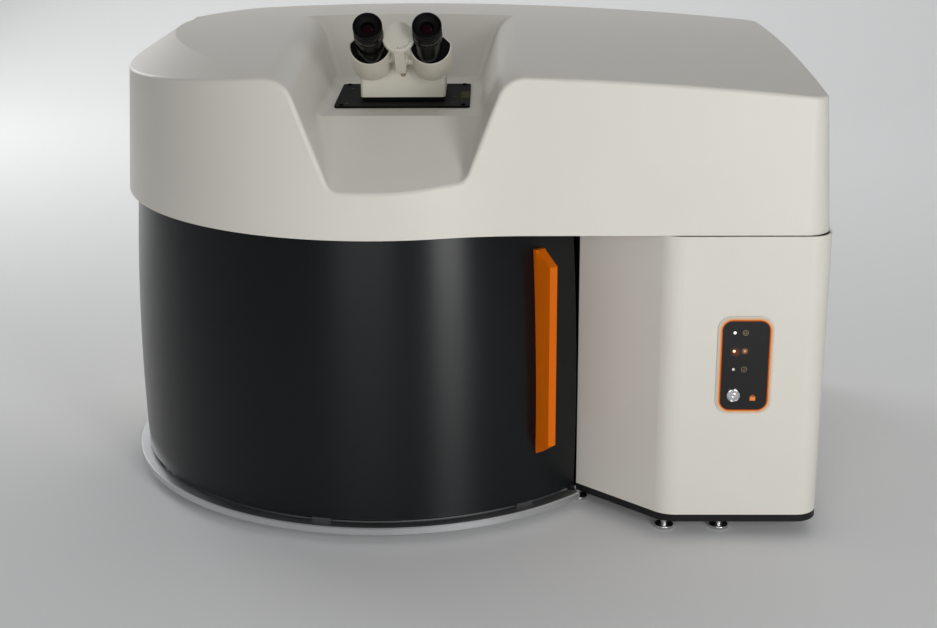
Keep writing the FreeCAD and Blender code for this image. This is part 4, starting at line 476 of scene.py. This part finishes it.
cup_profile = [(-13.4, 12.3), (-12.1, 12.1), (-11.9, 8.4), (-7.4, 8.2), (-6.3, 8.8), (-5.4, 11.0),
               (-4.4, 14.6), (-2.2, 16.4), (-0.6, 17.1), (0.0, 17.6), (-0.3, 18.15), (-0.9, 18.6),
               (-2.0, 19.05), (-3.4, 19.1), (-6.0, 18.6), (-8.2, 18.2), (-9.4, 18.4), (-10.0, 18.5),
               (-10.6, 18.2), (-13.4, 18.2)]
barrel_profile = [(-13.2, 12.4), (-10.8, 18.0), (-11.2, 18.6), (-19.6, 18.6), (-19.9, 18.2),
                  (-20.9, 18.2), (-21.2, 18.6), (-24.3, 18.6), (-24.9, 19.2), (-29.4, 19.2),
                  (-29.9, 18.7), (-30.0, 15.7), (-29.9, 14.0), (-14.5, 12.4)]
lens_profile = [(-13.9, 0.0), (-13.9, 12.0), (-12.4, 12.0), (-12.3, 8.1), (-9.9, 7.6), (-8.9, 5.0),
                (-8.5, 2.5), (-8.4, 0.0)]
hair_places, hair_half, hair_inner, hair_outer = (20.4, 24.6), 0.22, 18.5, 18.72
for name, sign in (("left", -1), ("right", 1)):
    end = eye_middle + Vector((sign * half_gap, 0, 0))
    body = name + "_eye"
    pieces = []
    for part, profile, finish, loop in (("cup", cup_profile, "cup_rubber", True),
                                        ("barrel", barrel_profile, "tube_enamel", True),
                                        ("lens", lens_profile, "coated_lens", False)):
        scaled = [(s * mm, r * mm) for s, r in profile]
        pieces.append(lathe(name + "_" + part, scaled, end, tube_way, finish, 96, loop))
    for k, s in enumerate(hair_places):
        hair = band_profile(-s * mm, hair_half * mm, hair_inner * mm, hair_outer * mm)
        pieces.append(lathe("%s_hair_ring_%d" % (name, k), hair, end, tube_way, "chrome_metal", 96, True))
    for piece in pieces:
        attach(piece, body)
    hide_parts(name + "_eyepiece")
    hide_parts(name + "_eyepiece")
    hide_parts(name + "_eye_lens")
print("eyepieces end at", [round(v, 4) for v in eye_middle])


# %% [markdown]
# Anything that repeats is grown by Geometry Nodes: the tree holds the rule, the named inputs
# hold the sizes. The helper below builds the empty tree with its inputs, and the next one sets
# those inputs on a modifier, bakes the result to a plain mesh and takes the modifier off again.

# %% Tree helpers
def new_tree(name, sizes):
    tree = bpy.data.node_groups.new(name, "GeometryNodeTree")
    tree.interface.new_socket("Geometry", in_out="INPUT", socket_type="NodeSocketGeometry")
    for label, value in sizes.items():
        kind = "NodeSocketInt" if isinstance(value, int) else "NodeSocketFloat"
        tree.interface.new_socket(label, in_out="INPUT", socket_type=kind).default_value = value
    tree.interface.new_socket("Finish", in_out="INPUT", socket_type="NodeSocketMaterial")
    tree.interface.new_socket("Geometry", in_out="OUTPUT", socket_type="NodeSocketGeometry")
    return tree, tree.nodes.new("NodeGroupInput")


def close_tree(tree, start, geometry):
    """Realize Instances, Set Material, Group Output: every tree ends like this."""
    real = node(tree, "GeometryNodeRealizeInstances", [("Geometry", geometry)])
    finish = node(tree, "GeometryNodeSetMaterial", [("Geometry", real.outputs[0]),
                                                    ("Material", start.outputs["Finish"])])
    out = tree.nodes.new("NodeGroupOutput")
    tree.links.new(finish.outputs[0], out.inputs[0])
    return tree


def grow(name, tree, finish, sizes=None, points=(), facing=()):
    """Run a tree on a bare mesh of points, and keep the result as a plain mesh object."""
    mesh = bpy.data.meshes.new(name)
    mesh.from_pydata([tuple(p) for p in points], [], [])
    if facing:
        way = mesh.attributes.new("facing", "FLOAT_VECTOR", "POINT")
        for k, value in enumerate(facing):
            way.data[k].vector = value
    obj = bpy.data.objects.new(name, mesh)
    bpy.context.collection.objects.link(obj)
    modifier = obj.modifiers.new("grow", "NODES")
    modifier.node_group = tree
    sockets = {s.name: s.identifier for s in tree.interface.items_tree if s.in_out == "INPUT"}
    for label, value in (sizes or {}).items():
        modifier[sockets[label]] = value
    modifier[sockets["Finish"]] = finishes[finish]
    seen = obj.evaluated_get(bpy.context.evaluated_depsgraph_get())
    plain = bpy.data.meshes.new_from_object(seen)
    obj.modifiers.clear()
    obj.data = plain
    print(name, "faces:", len(plain.polygons))
    return obj


print("finishes to grow with:", len(finishes))


# %% [markdown]
# A cap screw is a short cylinder with a six-sided hole. One boolean makes the hole, and the same
# head is then placed on every point, turned to the direction that is stored with the point.

# %% Screw heads
def screw_tree():
    sizes = {"Head radius": 0.003, "Head height": 0.0016, "Socket radius": 0.0014}
    tree, start = new_tree("screw_heads", sizes)
    out = start.outputs
    half = node(tree, "ShaderNodeMath", [(0, out["Head height"]), (1, 0.5)], operation="MULTIPLY")
    up = node(tree, "ShaderNodeCombineXYZ", [("Z", half.outputs[0])])
    head = node(tree, "GeometryNodeMeshCylinder", [("Vertices", 24), ("Radius", out["Head radius"]),
                                                   ("Depth", out["Head height"])])
    raised = node(tree, "GeometryNodeTransform", [("Geometry", head.outputs["Mesh"]),
                                                  ("Translation", up.outputs[0])])
    hexagon = node(tree, "GeometryNodeMeshCylinder", [("Vertices", 6), ("Radius", out["Socket radius"]),
                                                      ("Depth", out["Head height"])])
    high = node(tree, "ShaderNodeCombineXYZ", [("Z", out["Head height"])])
    key = node(tree, "GeometryNodeTransform", [("Geometry", hexagon.outputs["Mesh"]),
                                               ("Translation", high.outputs[0])])
    cut = node(tree, "GeometryNodeMeshBoolean", operation="DIFFERENCE")
    tree.links.new(raised.outputs[0], cut.inputs["Mesh 1"])
    tree.links.new(key.outputs[0], cut.inputs["Mesh 2"])
    way = node(tree, "GeometryNodeInputNamedAttribute", [("Name", "facing")], data_type="FLOAT_VECTOR")
    aim = node(tree, "FunctionNodeAlignRotationToVector", [("Vector", way.outputs["Attribute"])],
               axis="Z")
    spread = node(tree, "GeometryNodeInstanceOnPoints", [("Points", out["Geometry"]),
                                                         ("Instance", cut.outputs["Mesh"]),
                                                         ("Rotation", aim.outputs[0])])
    return close_tree(tree, start, spread.outputs[0])


screw_heads = screw_tree()
rear_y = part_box("rear_panel")[1][1]
rear_low, rear_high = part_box("rear_panel")
edge = 0.009
columns = [rear_low[0] + edge + (rear_high[0] - rear_low[0] - 2 * edge) * k / 6 for k in range(7)]
rows = [rear_low[2] + edge, (rear_low[2] + rear_high[2]) / 2, rear_high[2] - edge]
places = [(x, rear_y, z) for z in (rows[0], rows[2]) for x in columns]
places += [(x, rear_y, rows[1]) for x in (columns[0], columns[6])]
panel_screws = grow("panel_screws", screw_heads, "bolt_metal",
                    {"Head radius": 0.0034, "Head height": 0.0022, "Socket radius": 0.0017},
                    places, [(0, 1, 0)] * len(places))
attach(panel_screws, "chassis")

# %% [markdown]
# The fan is held by four screws, and a guard of concentric wires keeps fingers out. The rings
# are one circle, placed once per ring and scaled by its number; the spokes are one line, turned
# by its number. A thin round profile swept along them makes the wire.

# %% Fan guard
def guard_tree():
    sizes = {"Rings": 6, "Ring gap": 0.009, "Wire radius": 0.0008, "Spokes": 4}
    tree, start = new_tree("wire_guard", sizes)
    out = start.outputs
    number = node(tree, "GeometryNodeInputIndex")
    step = node(tree, "ShaderNodeMath", [(0, number.outputs[0]), (1, 1.0)], operation="ADD")
    grown = node(tree, "ShaderNodeMath", [(0, step.outputs[0]), (1, out["Ring gap"])],
                 operation="MULTIPLY")
    circle = node(tree, "GeometryNodeCurvePrimitiveCircle", [("Resolution", 72), ("Radius", 1.0)])
    seeds = node(tree, "GeometryNodeMeshLine", [("Count", out["Rings"]), ("Offset", (0, 0, 0))])
    rings = node(tree, "GeometryNodeInstanceOnPoints", [("Points", seeds.outputs[0]),
                                                        ("Instance", circle.outputs[0]),
                                                        ("Scale", grown.outputs[0])])
    reach = node(tree, "ShaderNodeMath", [(0, out["Rings"]), (1, out["Ring gap"])], operation="MULTIPLY")
    tip = node(tree, "ShaderNodeCombineXYZ", [("X", reach.outputs[0])])
    line = node(tree, "GeometryNodeCurvePrimitiveLine", [("End", tip.outputs[0])])
    arms = node(tree, "GeometryNodeMeshLine", [("Count", out["Spokes"]), ("Offset", (0, 0, 0))])
    share = node(tree, "ShaderNodeMath", [(0, 2 * math.pi), (1, out["Spokes"])], operation="DIVIDE")
    angle = node(tree, "ShaderNodeMath", [(0, number.outputs[0]), (1, share.outputs[0])],
                 operation="MULTIPLY")
    tilted = node(tree, "ShaderNodeMath", [(0, angle.outputs[0]), (1, math.pi / 4)], operation="ADD")
    spin = node(tree, "ShaderNodeCombineXYZ", [("Z", tilted.outputs[0])])
    spokes = node(tree, "GeometryNodeInstanceOnPoints", [("Points", arms.outputs[0]),
                                                         ("Instance", line.outputs[0]),
                                                         ("Rotation", spin.outputs[0])])
    both = node(tree, "GeometryNodeJoinGeometry")
    tree.links.new(rings.outputs[0], both.inputs[0])
    tree.links.new(spokes.outputs[0], both.inputs[0])
    loose = node(tree, "GeometryNodeRealizeInstances", [("Geometry", both.outputs[0])])
    profile = node(tree, "GeometryNodeCurvePrimitiveCircle", [("Resolution", 8),
                                                              ("Radius", out["Wire radius"])])
    wire = node(tree, "GeometryNodeCurveToMesh", [("Curve", loose.outputs[0]),
                                                  ("Profile Curve", profile.outputs[0]),
                                                  ("Fill Caps", True)])
    return close_tree(tree, start, wire.outputs[0])


fan_centre = Vector(joints["fan_spin"]["pos_m"])
guard = grow("fan_guard", guard_tree(), "chrome_metal", points=[(0, 0, 0)])
wire_lift = 0.0012
guard_spot = Matrix.Translation((fan_centre.x, rear_y + wire_lift, fan_centre.z))
guard.data.transform(guard_spot @ Matrix.Rotation(math.pi / 2, 4, "X"))
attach(guard, "chassis")
corner = 0.052
corners = [(a * corner, b * corner) for a in (-1, 1) for b in (-1, 1)]
fan_screws = grow("fan_screws", screw_heads, "bolt_metal",
                  {"Head radius": 0.003, "Head height": 0.002, "Socket radius": 0.0015},
                  [(fan_centre.x + a, rear_y, fan_centre.z + b) for a, b in corners], [(0, 1, 0)] * 4)
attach(fan_screws, "chassis")

# %% [markdown]
# Ribs round a grip are the same idea on a circle: one small block per point, each turned so that
# its own X axis points away from the centre.

# %% Knurled grips
def knurl_tree():
    sizes = {"Ribs": 48, "Radius": 0.0178, "Rib width": 0.0009, "Rib height": 0.0008, "Rib length": 0.008}
    tree, start = new_tree("knurl_ribs", sizes)
    out = start.outputs
    circle = node(tree, "GeometryNodeMeshCircle", [("Vertices", out["Ribs"]), ("Radius", out["Radius"])])
    size = node(tree, "ShaderNodeCombineXYZ", [("X", out["Rib height"]), ("Y", out["Rib width"]),
                                               ("Z", out["Rib length"])])
    rib = node(tree, "GeometryNodeMeshCube", [("Size", size.outputs[0])])
    spot = node(tree, "GeometryNodeInputPosition")
    aim = node(tree, "FunctionNodeAlignRotationToVector", [("Vector", spot.outputs[0])], axis="X")
    spread = node(tree, "GeometryNodeInstanceOnPoints", [("Points", circle.outputs[0]),
                                                         ("Instance", rib.outputs["Mesh"]),
                                                         ("Rotation", aim.outputs[0])])
    return close_tree(tree, start, spread.outputs[0])


knurl_ribs = knurl_tree()


def along(origin, way):
    """The matrix that stands a piece, drawn round +Z at the origin, on a point along a direction."""
    return Matrix.Translation(origin) @ Vector(way).to_track_quat("Z", "Y").to_matrix().to_4x4()


dioptre_middle = Vector(joints["dioptre_turn"]["pos_m"])
grip = grow("dioptre_grip", knurl_ribs, "tube_enamel", {"Ribs": 60, "Radius": 0.0177, "Rib length": 0.0076})
grip.data.transform(along(dioptre_middle, tube_way))
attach(grip, "dioptre")
barrel_grip_back = 0.0155
for name, sign in (("left", -1), ("right", 1)):
    spot = eye_middle + Vector((sign * half_gap, 0, 0)) - tube_way * barrel_grip_back
    grip = grow(name + "_barrel_grip", knurl_ribs, "tube_enamel",
                {"Ribs": 72, "Radius": 0.0186, "Rib width": 0.0008, "Rib height": 0.0007,
                 "Rib length": 0.0058})
    grip.data.transform(along(spot, tube_way))
    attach(grip, name + "_eye")

# %% [markdown]
# The window of the status panel carries small printed signs. An image would blur close up, so
# each sign is a thin mesh a hair above the glass, drawn from flat outlines. Two helpers draw the
# strokes that signs are made of: a straight bar, and an arc cut into short quads.

# %% Flat marks
mark_thickness = 0.00012


def flat_marks(name, outlines, finish, place, body="chassis"):
    """Thin plates from lists of (x, z) outlines. They are drawn facing -Y, then placed by a matrix."""
    bm = bmesh.new()
    for outline in outlines:
        front = [bm.verts.new((x, -mark_thickness, z)) for x, z in outline]
        back = [bm.verts.new((x, 0, z)) for x, z in outline]
        bm.faces.new(front)
        bm.faces.new(back[::-1])
        count = len(outline)
        for k in range(count):
            bm.faces.new((front[k], back[k], back[(k + 1) % count], front[(k + 1) % count]))
    bmesh.ops.recalc_face_normals(bm, faces=bm.faces)
    bm.transform(place)
    obj = object_from(bm, name, finishes[finish])
    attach(obj, body)
    return obj


def arc_band(cx, cz, radius, width, start, stop, steps=28):
    """Quads along an arc, so that a ring or an open ring is a row of small convex outlines."""
    quads = []
    for k in range(steps):
        a, b = [math.radians(start + (stop - start) * (k + d) / steps) for d in (0, 1)]
        inner, outer = radius - width / 2, radius + width / 2
        corners = ((inner, a), (outer, a), (outer, b), (inner, b))
        quads.append([(cx + r * math.sin(t), cz + r * math.cos(t)) for r, t in corners])
    return quads


def bar(x0, z0, x1, z1, width):
    """A straight stroke between two points, as one outline."""
    run = Vector((x1 - x0, z1 - z0)).normalized() * width / 2
    return [(x0 - run.y, z0 + run.x), (x0 + run.y, z0 - run.x),
            (x1 + run.y, z1 - run.x), (x1 - run.y, z1 + run.x)]


print("mark thickness:", mark_thickness)

# %% [markdown]
# Three lamps stand in a column, each with a sign beside it, and under them a padlock beside the
# button. The signs say nothing in words: a power ring, a burst of light, a ring with a tick.
# They are print, and they glow a little with painted light, so they stand out on the dark glass.

# %% Signs on the window
on_glass = Matrix.Translation((0, panel_face, 0))
mark_x, mark_r, stroke = 0.3760, 0.0034, 0.00055
power = arc_band(mark_x, lamp_rows[0], mark_r, stroke, 0, 360)
power += arc_band(mark_x, lamp_rows[0], 0.0015, stroke, 50, 310, 16)
power.append(bar(mark_x, lamp_rows[0] + 0.0004, mark_x, lamp_rows[0] + 0.0021, stroke))
flat_marks("power_mark", power, "pale_mark_painted_glow", on_glass)
burst = arc_band(mark_x, lamp_rows[1], 0.0010, 0.0018, 0, 360, 16)
rays, ray_start, ray_stop = 10, 0.0026, 0.0041
for k in range(rays):
    a = 2 * math.pi * k / rays
    burst.append(bar(mark_x + ray_start * math.sin(a), lamp_rows[1] + ray_start * math.cos(a),
                     mark_x + ray_stop * math.sin(a), lamp_rows[1] + ray_stop * math.cos(a), stroke))
flat_marks("light_mark", burst, "amber_mark_painted_glow", on_glass)
tick = arc_band(mark_x, lamp_rows[2], mark_r, stroke, 0, 360)
tick.append(bar(mark_x - 0.0015, lamp_rows[2], mark_x - 0.0003, lamp_rows[2] - 0.0012, stroke))
tick.append(bar(mark_x - 0.0003, lamp_rows[2] - 0.0012, mark_x + 0.0017, lamp_rows[2] + 0.0014, stroke))
flat_marks("ready_mark", tick, "pale_mark_painted_glow", on_glass)
lock_x, lock_z = 0.3888, 0.1985
lock_half, lock_low, lock_high, bow_r = 0.0036, 0.0030, 0.0024, 0.0021
padlock = [[(lock_x - lock_half, lock_z - lock_low), (lock_x + lock_half, lock_z - lock_low),
            (lock_x + lock_half, lock_z + lock_high), (lock_x - lock_half, lock_z + lock_high)]]
padlock += arc_band(lock_x, lock_z + lock_high, bow_r, stroke, -90, 90, 12)
flat_marks("padlock_mark", padlock, "lock_mark_painted_glow", on_glass)
print("strokes:", len(power) + len(burst) + len(tick) + len(padlock))

# %% [markdown]
# The lamps are shallow domes, and the button's face is turned: a bright rim, then shallow rings.
# Both are round, so the lathe makes each from one short profile. The button's radius comes from
# the solid's own box, so that the face fits it whatever its size.

# %% Lamps and the button's face
dome_profile = [(0.0, 0.0), (0.0, 0.0018), (0.00018, 0.0016), (0.00028, 0.0010), (0.0003, 0.0)]
for k, (z, glow) in enumerate(zip(lamp_rows, ("white_lamp", "amber_lamp", "dim_lamp"))):
    dome = lathe("lamp_%d" % k, dome_profile, (lamp_x, panel_face, z), (0, -1, 0), glow, 32)
    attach(dome, "chassis")
button_low, button_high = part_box("lock_button")
button_r = (button_high[0] - button_low[0]) / 2
button_x, button_z = [(button_low[k] + button_high[k]) / 2 for k in (0, 2)]
dish = [(0.0, 0.0), (0.0, 0.97), (0.0005, 0.94), (0.0007, 0.88), (0.0005, 0.82), (0.0001, 0.78),
        (0.0001, 0.56), (0.0003, 0.53), (0.0001, 0.50), (0.0001, 0.30), (0.00025, 0.27), (0.0001, 0.24),
        (0.00012, 0.0)]
face = lathe("button_face", [(s, r * button_r) for s, r in dish], (button_x, button_low[1], button_z),
             (0, -1, 0), "button_metal", 64)
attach(face, "button")
print("button radius:", round(button_r, 4))

# %% [markdown]
# A mains inlet has three flat pins deep in its well. Each is a small block with broken edges,
# because a box with knife edges catches no light and reads as a drawing.

# %% Pins in the mains inlet
def block(name, low, high, finish, body):
    bm = bmesh.new()
    bmesh.ops.create_cube(bm, size=1.0)
    middle, size = (Vector(low) + Vector(high)) / 2, Vector(high) - Vector(low)
    bm.transform(Matrix.Translation(middle) @ Matrix.Diagonal((*size, 1)))
    bmesh.ops.bevel(bm, geom=bm.edges, offset=min(size) * 0.2, segments=2, affect="EDGES")
    obj = object_from(bm, name, finishes[finish])
    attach(obj, body)
    return obj


inlet_x, inlet_z = 0.240, 0.084
pin_half = Vector((0.0011, 0.0071, 0.0026))
pin_y = rear_y - 0.0139
for k, (dx, dz) in enumerate(((-0.007, -0.002), (0.0, 0.003), (0.007, -0.002))):
    middle = Vector((inlet_x + dx, pin_y, inlet_z + dz))
    block("inlet_pin_%d" % k, middle - pin_half, middle + pin_half, "brass_metal", "chassis")
print("rear face at y", round(rear_y, 4))

# %% [markdown]
# A data socket has a row of thin gilt contacts, and the stage has a row of engraved ticks. Both
# are one strip, repeated at a pitch, so one tree serves both. Every so many strips one can be
# longer, which makes the tens of a scale.


# %% Contacts in the data sockets
def strip_tree():
    sizes = {"Count": 8, "Pitch": 0.001, "Width": 0.0004, "Length": 0.003, "Thickness": 0.0003,
             "Every": 1000, "Longer": 1.0}
    tree, start = new_tree("strip_row", sizes)
    out = start.outputs
    step = node(tree, "ShaderNodeCombineXYZ", [("X", out["Pitch"])])
    line = node(tree, "GeometryNodeMeshLine", [("Count", out["Count"]), ("Offset", step.outputs[0])])
    size = node(tree, "ShaderNodeCombineXYZ", [("X", out["Width"]), ("Y", out["Length"]),
                                               ("Z", out["Thickness"])])
    strip = node(tree, "GeometryNodeMeshCube", [("Size", size.outputs[0])])
    number = node(tree, "GeometryNodeInputIndex")
    rest = node(tree, "ShaderNodeMath", [(0, number.outputs[0]), (1, out["Every"])], operation="MODULO")
    first = node(tree, "ShaderNodeMath", [(0, rest.outputs[0]), (1, 0.5)], operation="LESS_THAN")
    more = node(tree, "ShaderNodeMath", [(0, out["Longer"]), (1, 1.0)], operation="SUBTRACT")
    grown = node(tree, "ShaderNodeMath", [(0, first.outputs[0]), (1, more.outputs[0]), (2, 1.0)],
                 operation="MULTIPLY_ADD")
    scale = node(tree, "ShaderNodeCombineXYZ", [("X", 1.0), ("Y", grown.outputs[0]), ("Z", 1.0)])
    spread = node(tree, "GeometryNodeInstanceOnPoints", [("Points", line.outputs[0]),
                                                         ("Instance", strip.outputs["Mesh"]),
                                                         ("Scale", scale.outputs[0])])
    return close_tree(tree, start, spread.outputs[0])


strip_row = strip_tree()
port_xs, contacts, pitch = (0.216, 0.246, 0.276, 0.306), 8, 0.001
contact_y, contact_z = rear_y - 0.008, 0.1458
for k, x in enumerate(port_xs):
    row = grow("port_contacts_%d" % k, strip_row, "brass_metal", {"Count": contacts, "Length": 0.006})
    row.data.transform(Matrix.Translation((x - pitch * (contacts - 1) / 2, contact_y, contact_z)))
    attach(row, "chassis")

# %% [markdown]
# The rocker carries the two signs that every mains switch has: a stroke for on, a ring for off.
# They ride on the rocker, so they tip with it.

# %% Rocker signs
pivot = Vector(joints["rocker_tip"]["pos_m"])
rest_tilt = math.radians(3.0)
tip = Matrix.Translation(pivot) @ Matrix.Rotation(rest_tilt, 4, "X")
face_tilt = math.atan2(1.6, 9.5)
face_y, sign_z = 0.00458, 0.0055
about = Matrix.Rotation(math.pi, 4, "Z")
for name, side, sign in (("on_sign", 1, [bar(0, -0.0020, 0, 0.0020, 0.0007)]),
                         ("off_sign", -1, arc_band(0, 0, 0.0018, 0.0006, 0, 360, 24))):
    spot = Matrix.Translation((0, face_y, side * sign_z)) @ Matrix.Rotation(side * face_tilt, 4, "X")
    flat_marks(name, sign, "white_ink", tip @ spot @ about, "rocker")
print("rocker pivot:", [round(v, 4) for v in pivot])

# %% [markdown]
# The round cap between the tubes shows the turn of the housings, so it has a short scale on its
# lower edge. The ticks are the same flat bars as on the window, set round the cap's middle.

# %% Scale on the cap
disc_face = eye_middle - tube_way * (0.0305 - 0.00002)
cap_place = along(disc_face, tube_way) @ Matrix.Rotation(-math.pi / 2, 4, "X")
tick_first, tick_step, tick_outer, tick_width = 118, 8, 0.0182, 0.0005
ticks = []
for k in range(9):
    a = math.radians(tick_first + tick_step * k)
    inner = 0.0150 if k % 4 == 0 else 0.0162
    ticks.append(bar(inner * math.sin(a), inner * math.cos(a),
                     tick_outer * math.sin(a), tick_outer * math.cos(a), tick_width))
flat_marks("cap_scale", ticks, "plate_paint", cap_place, "chassis")
print("ticks on the cap:", len(ticks))

# %% [markdown]
# The slot plate has an olive film at its right end and a few screws sunk in it, and the binocular
# is held by one clamp screw. The screws are the tree that was made for the rear panel, with other
# sizes: a tree with named inputs is written once and used on every plate.

# %% Film and screws on the slot plate
plate_top = 0.553
film_thickness = 0.0003
block("slot_film", (0.0075, -0.090, plate_top), (0.0190, -0.041, plate_top + film_thickness), "olive_film",
      "chassis")
spots = [(-0.002, -0.081), (-0.0035, -0.126), (0.0105, -0.134), (0.0105, -0.112), (-0.146, -0.128),
         (-0.146, -0.02)]
plate_holes = grow("plate_holes", screw_heads, "tube_enamel",
                   {"Head radius": 0.0024, "Head height": 0.0005, "Socket radius": 0.0014},
                   [(x, y, plate_top) for x, y in spots], [(0, 0, 1)] * len(spots))
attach(plate_holes, "chassis")
clamp_spot = (-0.070, -0.1081, 0.5895)
clamp = grow("clamp_screw", screw_heads, "aged_brass",
             {"Head radius": 0.0034, "Head height": 0.0018, "Socket radius": 0.0018},
             [clamp_spot], [(0, -1, 0)])
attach(clamp, "chassis")

# %% [markdown]
# Objectives tell their power by the colour of one ring: red, yellow, green, blue, white, from
# weak to strong. Each also has a ribbed grip, where the fingers hold it to screw it in.

# %% Objective rings and grips
ring_colours = ((0.05, 0.25, 0.62), (0.62, 0.03, 0.02), (0.70, 0.48, 0.03), (0.03, 0.32, 0.10),
                (0.74, 0.74, 0.73))
lengths = (0.052, 0.034, 0.040, 0.046, 0.050)
seat = 0.092
band_share, grip_share = 0.50, 0.22
apex = Vector(joints["turret_turn"]["pos_m"])
down = Vector(joints["turret_turn"]["axis"]).normalized()
for k, (colour, length) in enumerate(zip(ring_colours, lengths)):
    way = Matrix.Rotation(math.radians(72.0 * k), 3, down) @ Vector((0, 0, -1))
    surface("power_ring_%d" % k, colour, 0.3, 2000, 0.02)
    profile = band_profile(seat + length * band_share, 0.0013, 0.0130, 0.01375)
    band = lathe("power_ring_%d" % k, profile, apex, way, "power_ring_%d" % k, 64, True)
    grip = grow("objective_grip_%d" % k, knurl_ribs, "chrome_metal",
                {"Ribs": 56, "Radius": 0.0134, "Rib width": 0.0007, "Rib height": 0.0008,
                 "Rib length": 0.006})
    grip.data.transform(along(apex + way * (seat + length * grip_share), way))
    for piece in (band, grip):
        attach(piece, "turret")

# %% [markdown]
# The stage has an engraved scale along its front edge, a tick each millimetre and a longer one
# each ten. The slide has a frosted end to write on.

# %% Stage scale and slide
stage_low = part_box("stage_x_plate")[0]
scale_x, scale_inset, stage_top = -0.121, 0.0045, 0.2346
scale_marks = grow("stage_scale", strip_row, "white_ink",
                   {"Count": 101, "Pitch": 0.001, "Width": 0.00018, "Length": 0.0022,
                    "Thickness": 0.00006, "Every": 10, "Longer": 1.7})
scale_marks.data.transform(Matrix.Translation((scale_x, stage_low[1] + scale_inset, stage_top)))
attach(scale_marks, "stage_x")
slide_low, slide_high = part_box("specimen_slide")
frost_length, frost_margin, frost_end, frost_thickness = 0.019, 0.0004, 0.0006, 0.00006
block("slide_frost", (slide_high[0] - frost_length, slide_low[1] + frost_margin, slide_high[2]),
      (slide_high[0] - frost_end, slide_high[1] - frost_margin, slide_high[2] + frost_thickness),
      "white_ink", "stage_x")

# %% [markdown]
# The back of the cabinet breathes through two banks of slots. A row of box-shaped cutters is grown
# by rule for each bank, and a boolean takes it out of a copy of the panel, which then stands in
# for the panel.

# %% Rear vents
def vent_tree():
    sizes = {"Slots": 12, "Pitch": 0.009, "Slot width": 0.0042, "Slot length": 0.060, "Depth": 0.012}
    tree, start = new_tree("vent_slots", sizes)
    out = start.outputs
    step = node(tree, "ShaderNodeCombineXYZ", [("Z", out["Pitch"])])
    seeds = node(tree, "GeometryNodeMeshLine", [("Count", out["Slots"]), ("Offset", step.outputs[0])])
    size = node(tree, "ShaderNodeCombineXYZ", [("X", out["Slot length"]), ("Y", out["Depth"]),
                                               ("Z", out["Slot width"])])
    cutter = node(tree, "GeometryNodeMeshCube", [("Size", size.outputs[0])])
    spread = node(tree, "GeometryNodeInstanceOnPoints", [("Points", seeds.outputs[0]),
                                                         ("Instance", cutter.outputs["Mesh"])])
    return close_tree(tree, start, spread.outputs[0])


weld_gap = 0.000002


def merged_copy(name):
    """A copy of a solid's mesh with its doubled corners joined, which a boolean needs."""
    bm = bmesh.new()
    bm.from_mesh(frame["nodes"][name].data)
    bm.transform(frame["nodes"][name].matrix_world)
    bmesh.ops.remove_doubles(bm, verts=bm.verts, dist=weld_gap)
    bmesh.ops.recalc_face_normals(bm, faces=bm.faces)
    return object_from(bm, name + "_look")


vents = vent_tree()
panel_copy = merged_copy("rear_panel")
panel_copy.data.materials.append(finishes["rear_paint"])
bank_xs, lowest_slot, panel_middle = (0.225, 0.300), 0.285, rear_y - 0.0015
for k, x in enumerate(bank_xs):
    cutters = grow("vent_cutters_%d" % k, vents, "liner_paint")
    cutters.data.transform(Matrix.Translation((x, panel_middle, lowest_slot)))
    cut = panel_copy.modifiers.new("vents", "BOOLEAN")
    cut.object = cutters
    cut.solver = "EXACT"
    seen = panel_copy.evaluated_get(bpy.context.evaluated_depsgraph_get())
    plain = bpy.data.meshes.new_from_object(seen)
    panel_copy.modifiers.clear()
    panel_copy.data = plain
    bpy.data.objects.remove(cutters)
panel_copy.data.materials.clear()
panel_copy.data.materials.append(finishes["rear_paint"])
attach(panel_copy, "chassis")
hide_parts("rear_panel")
print("vented panel faces:", len(panel_copy.data.polygons))
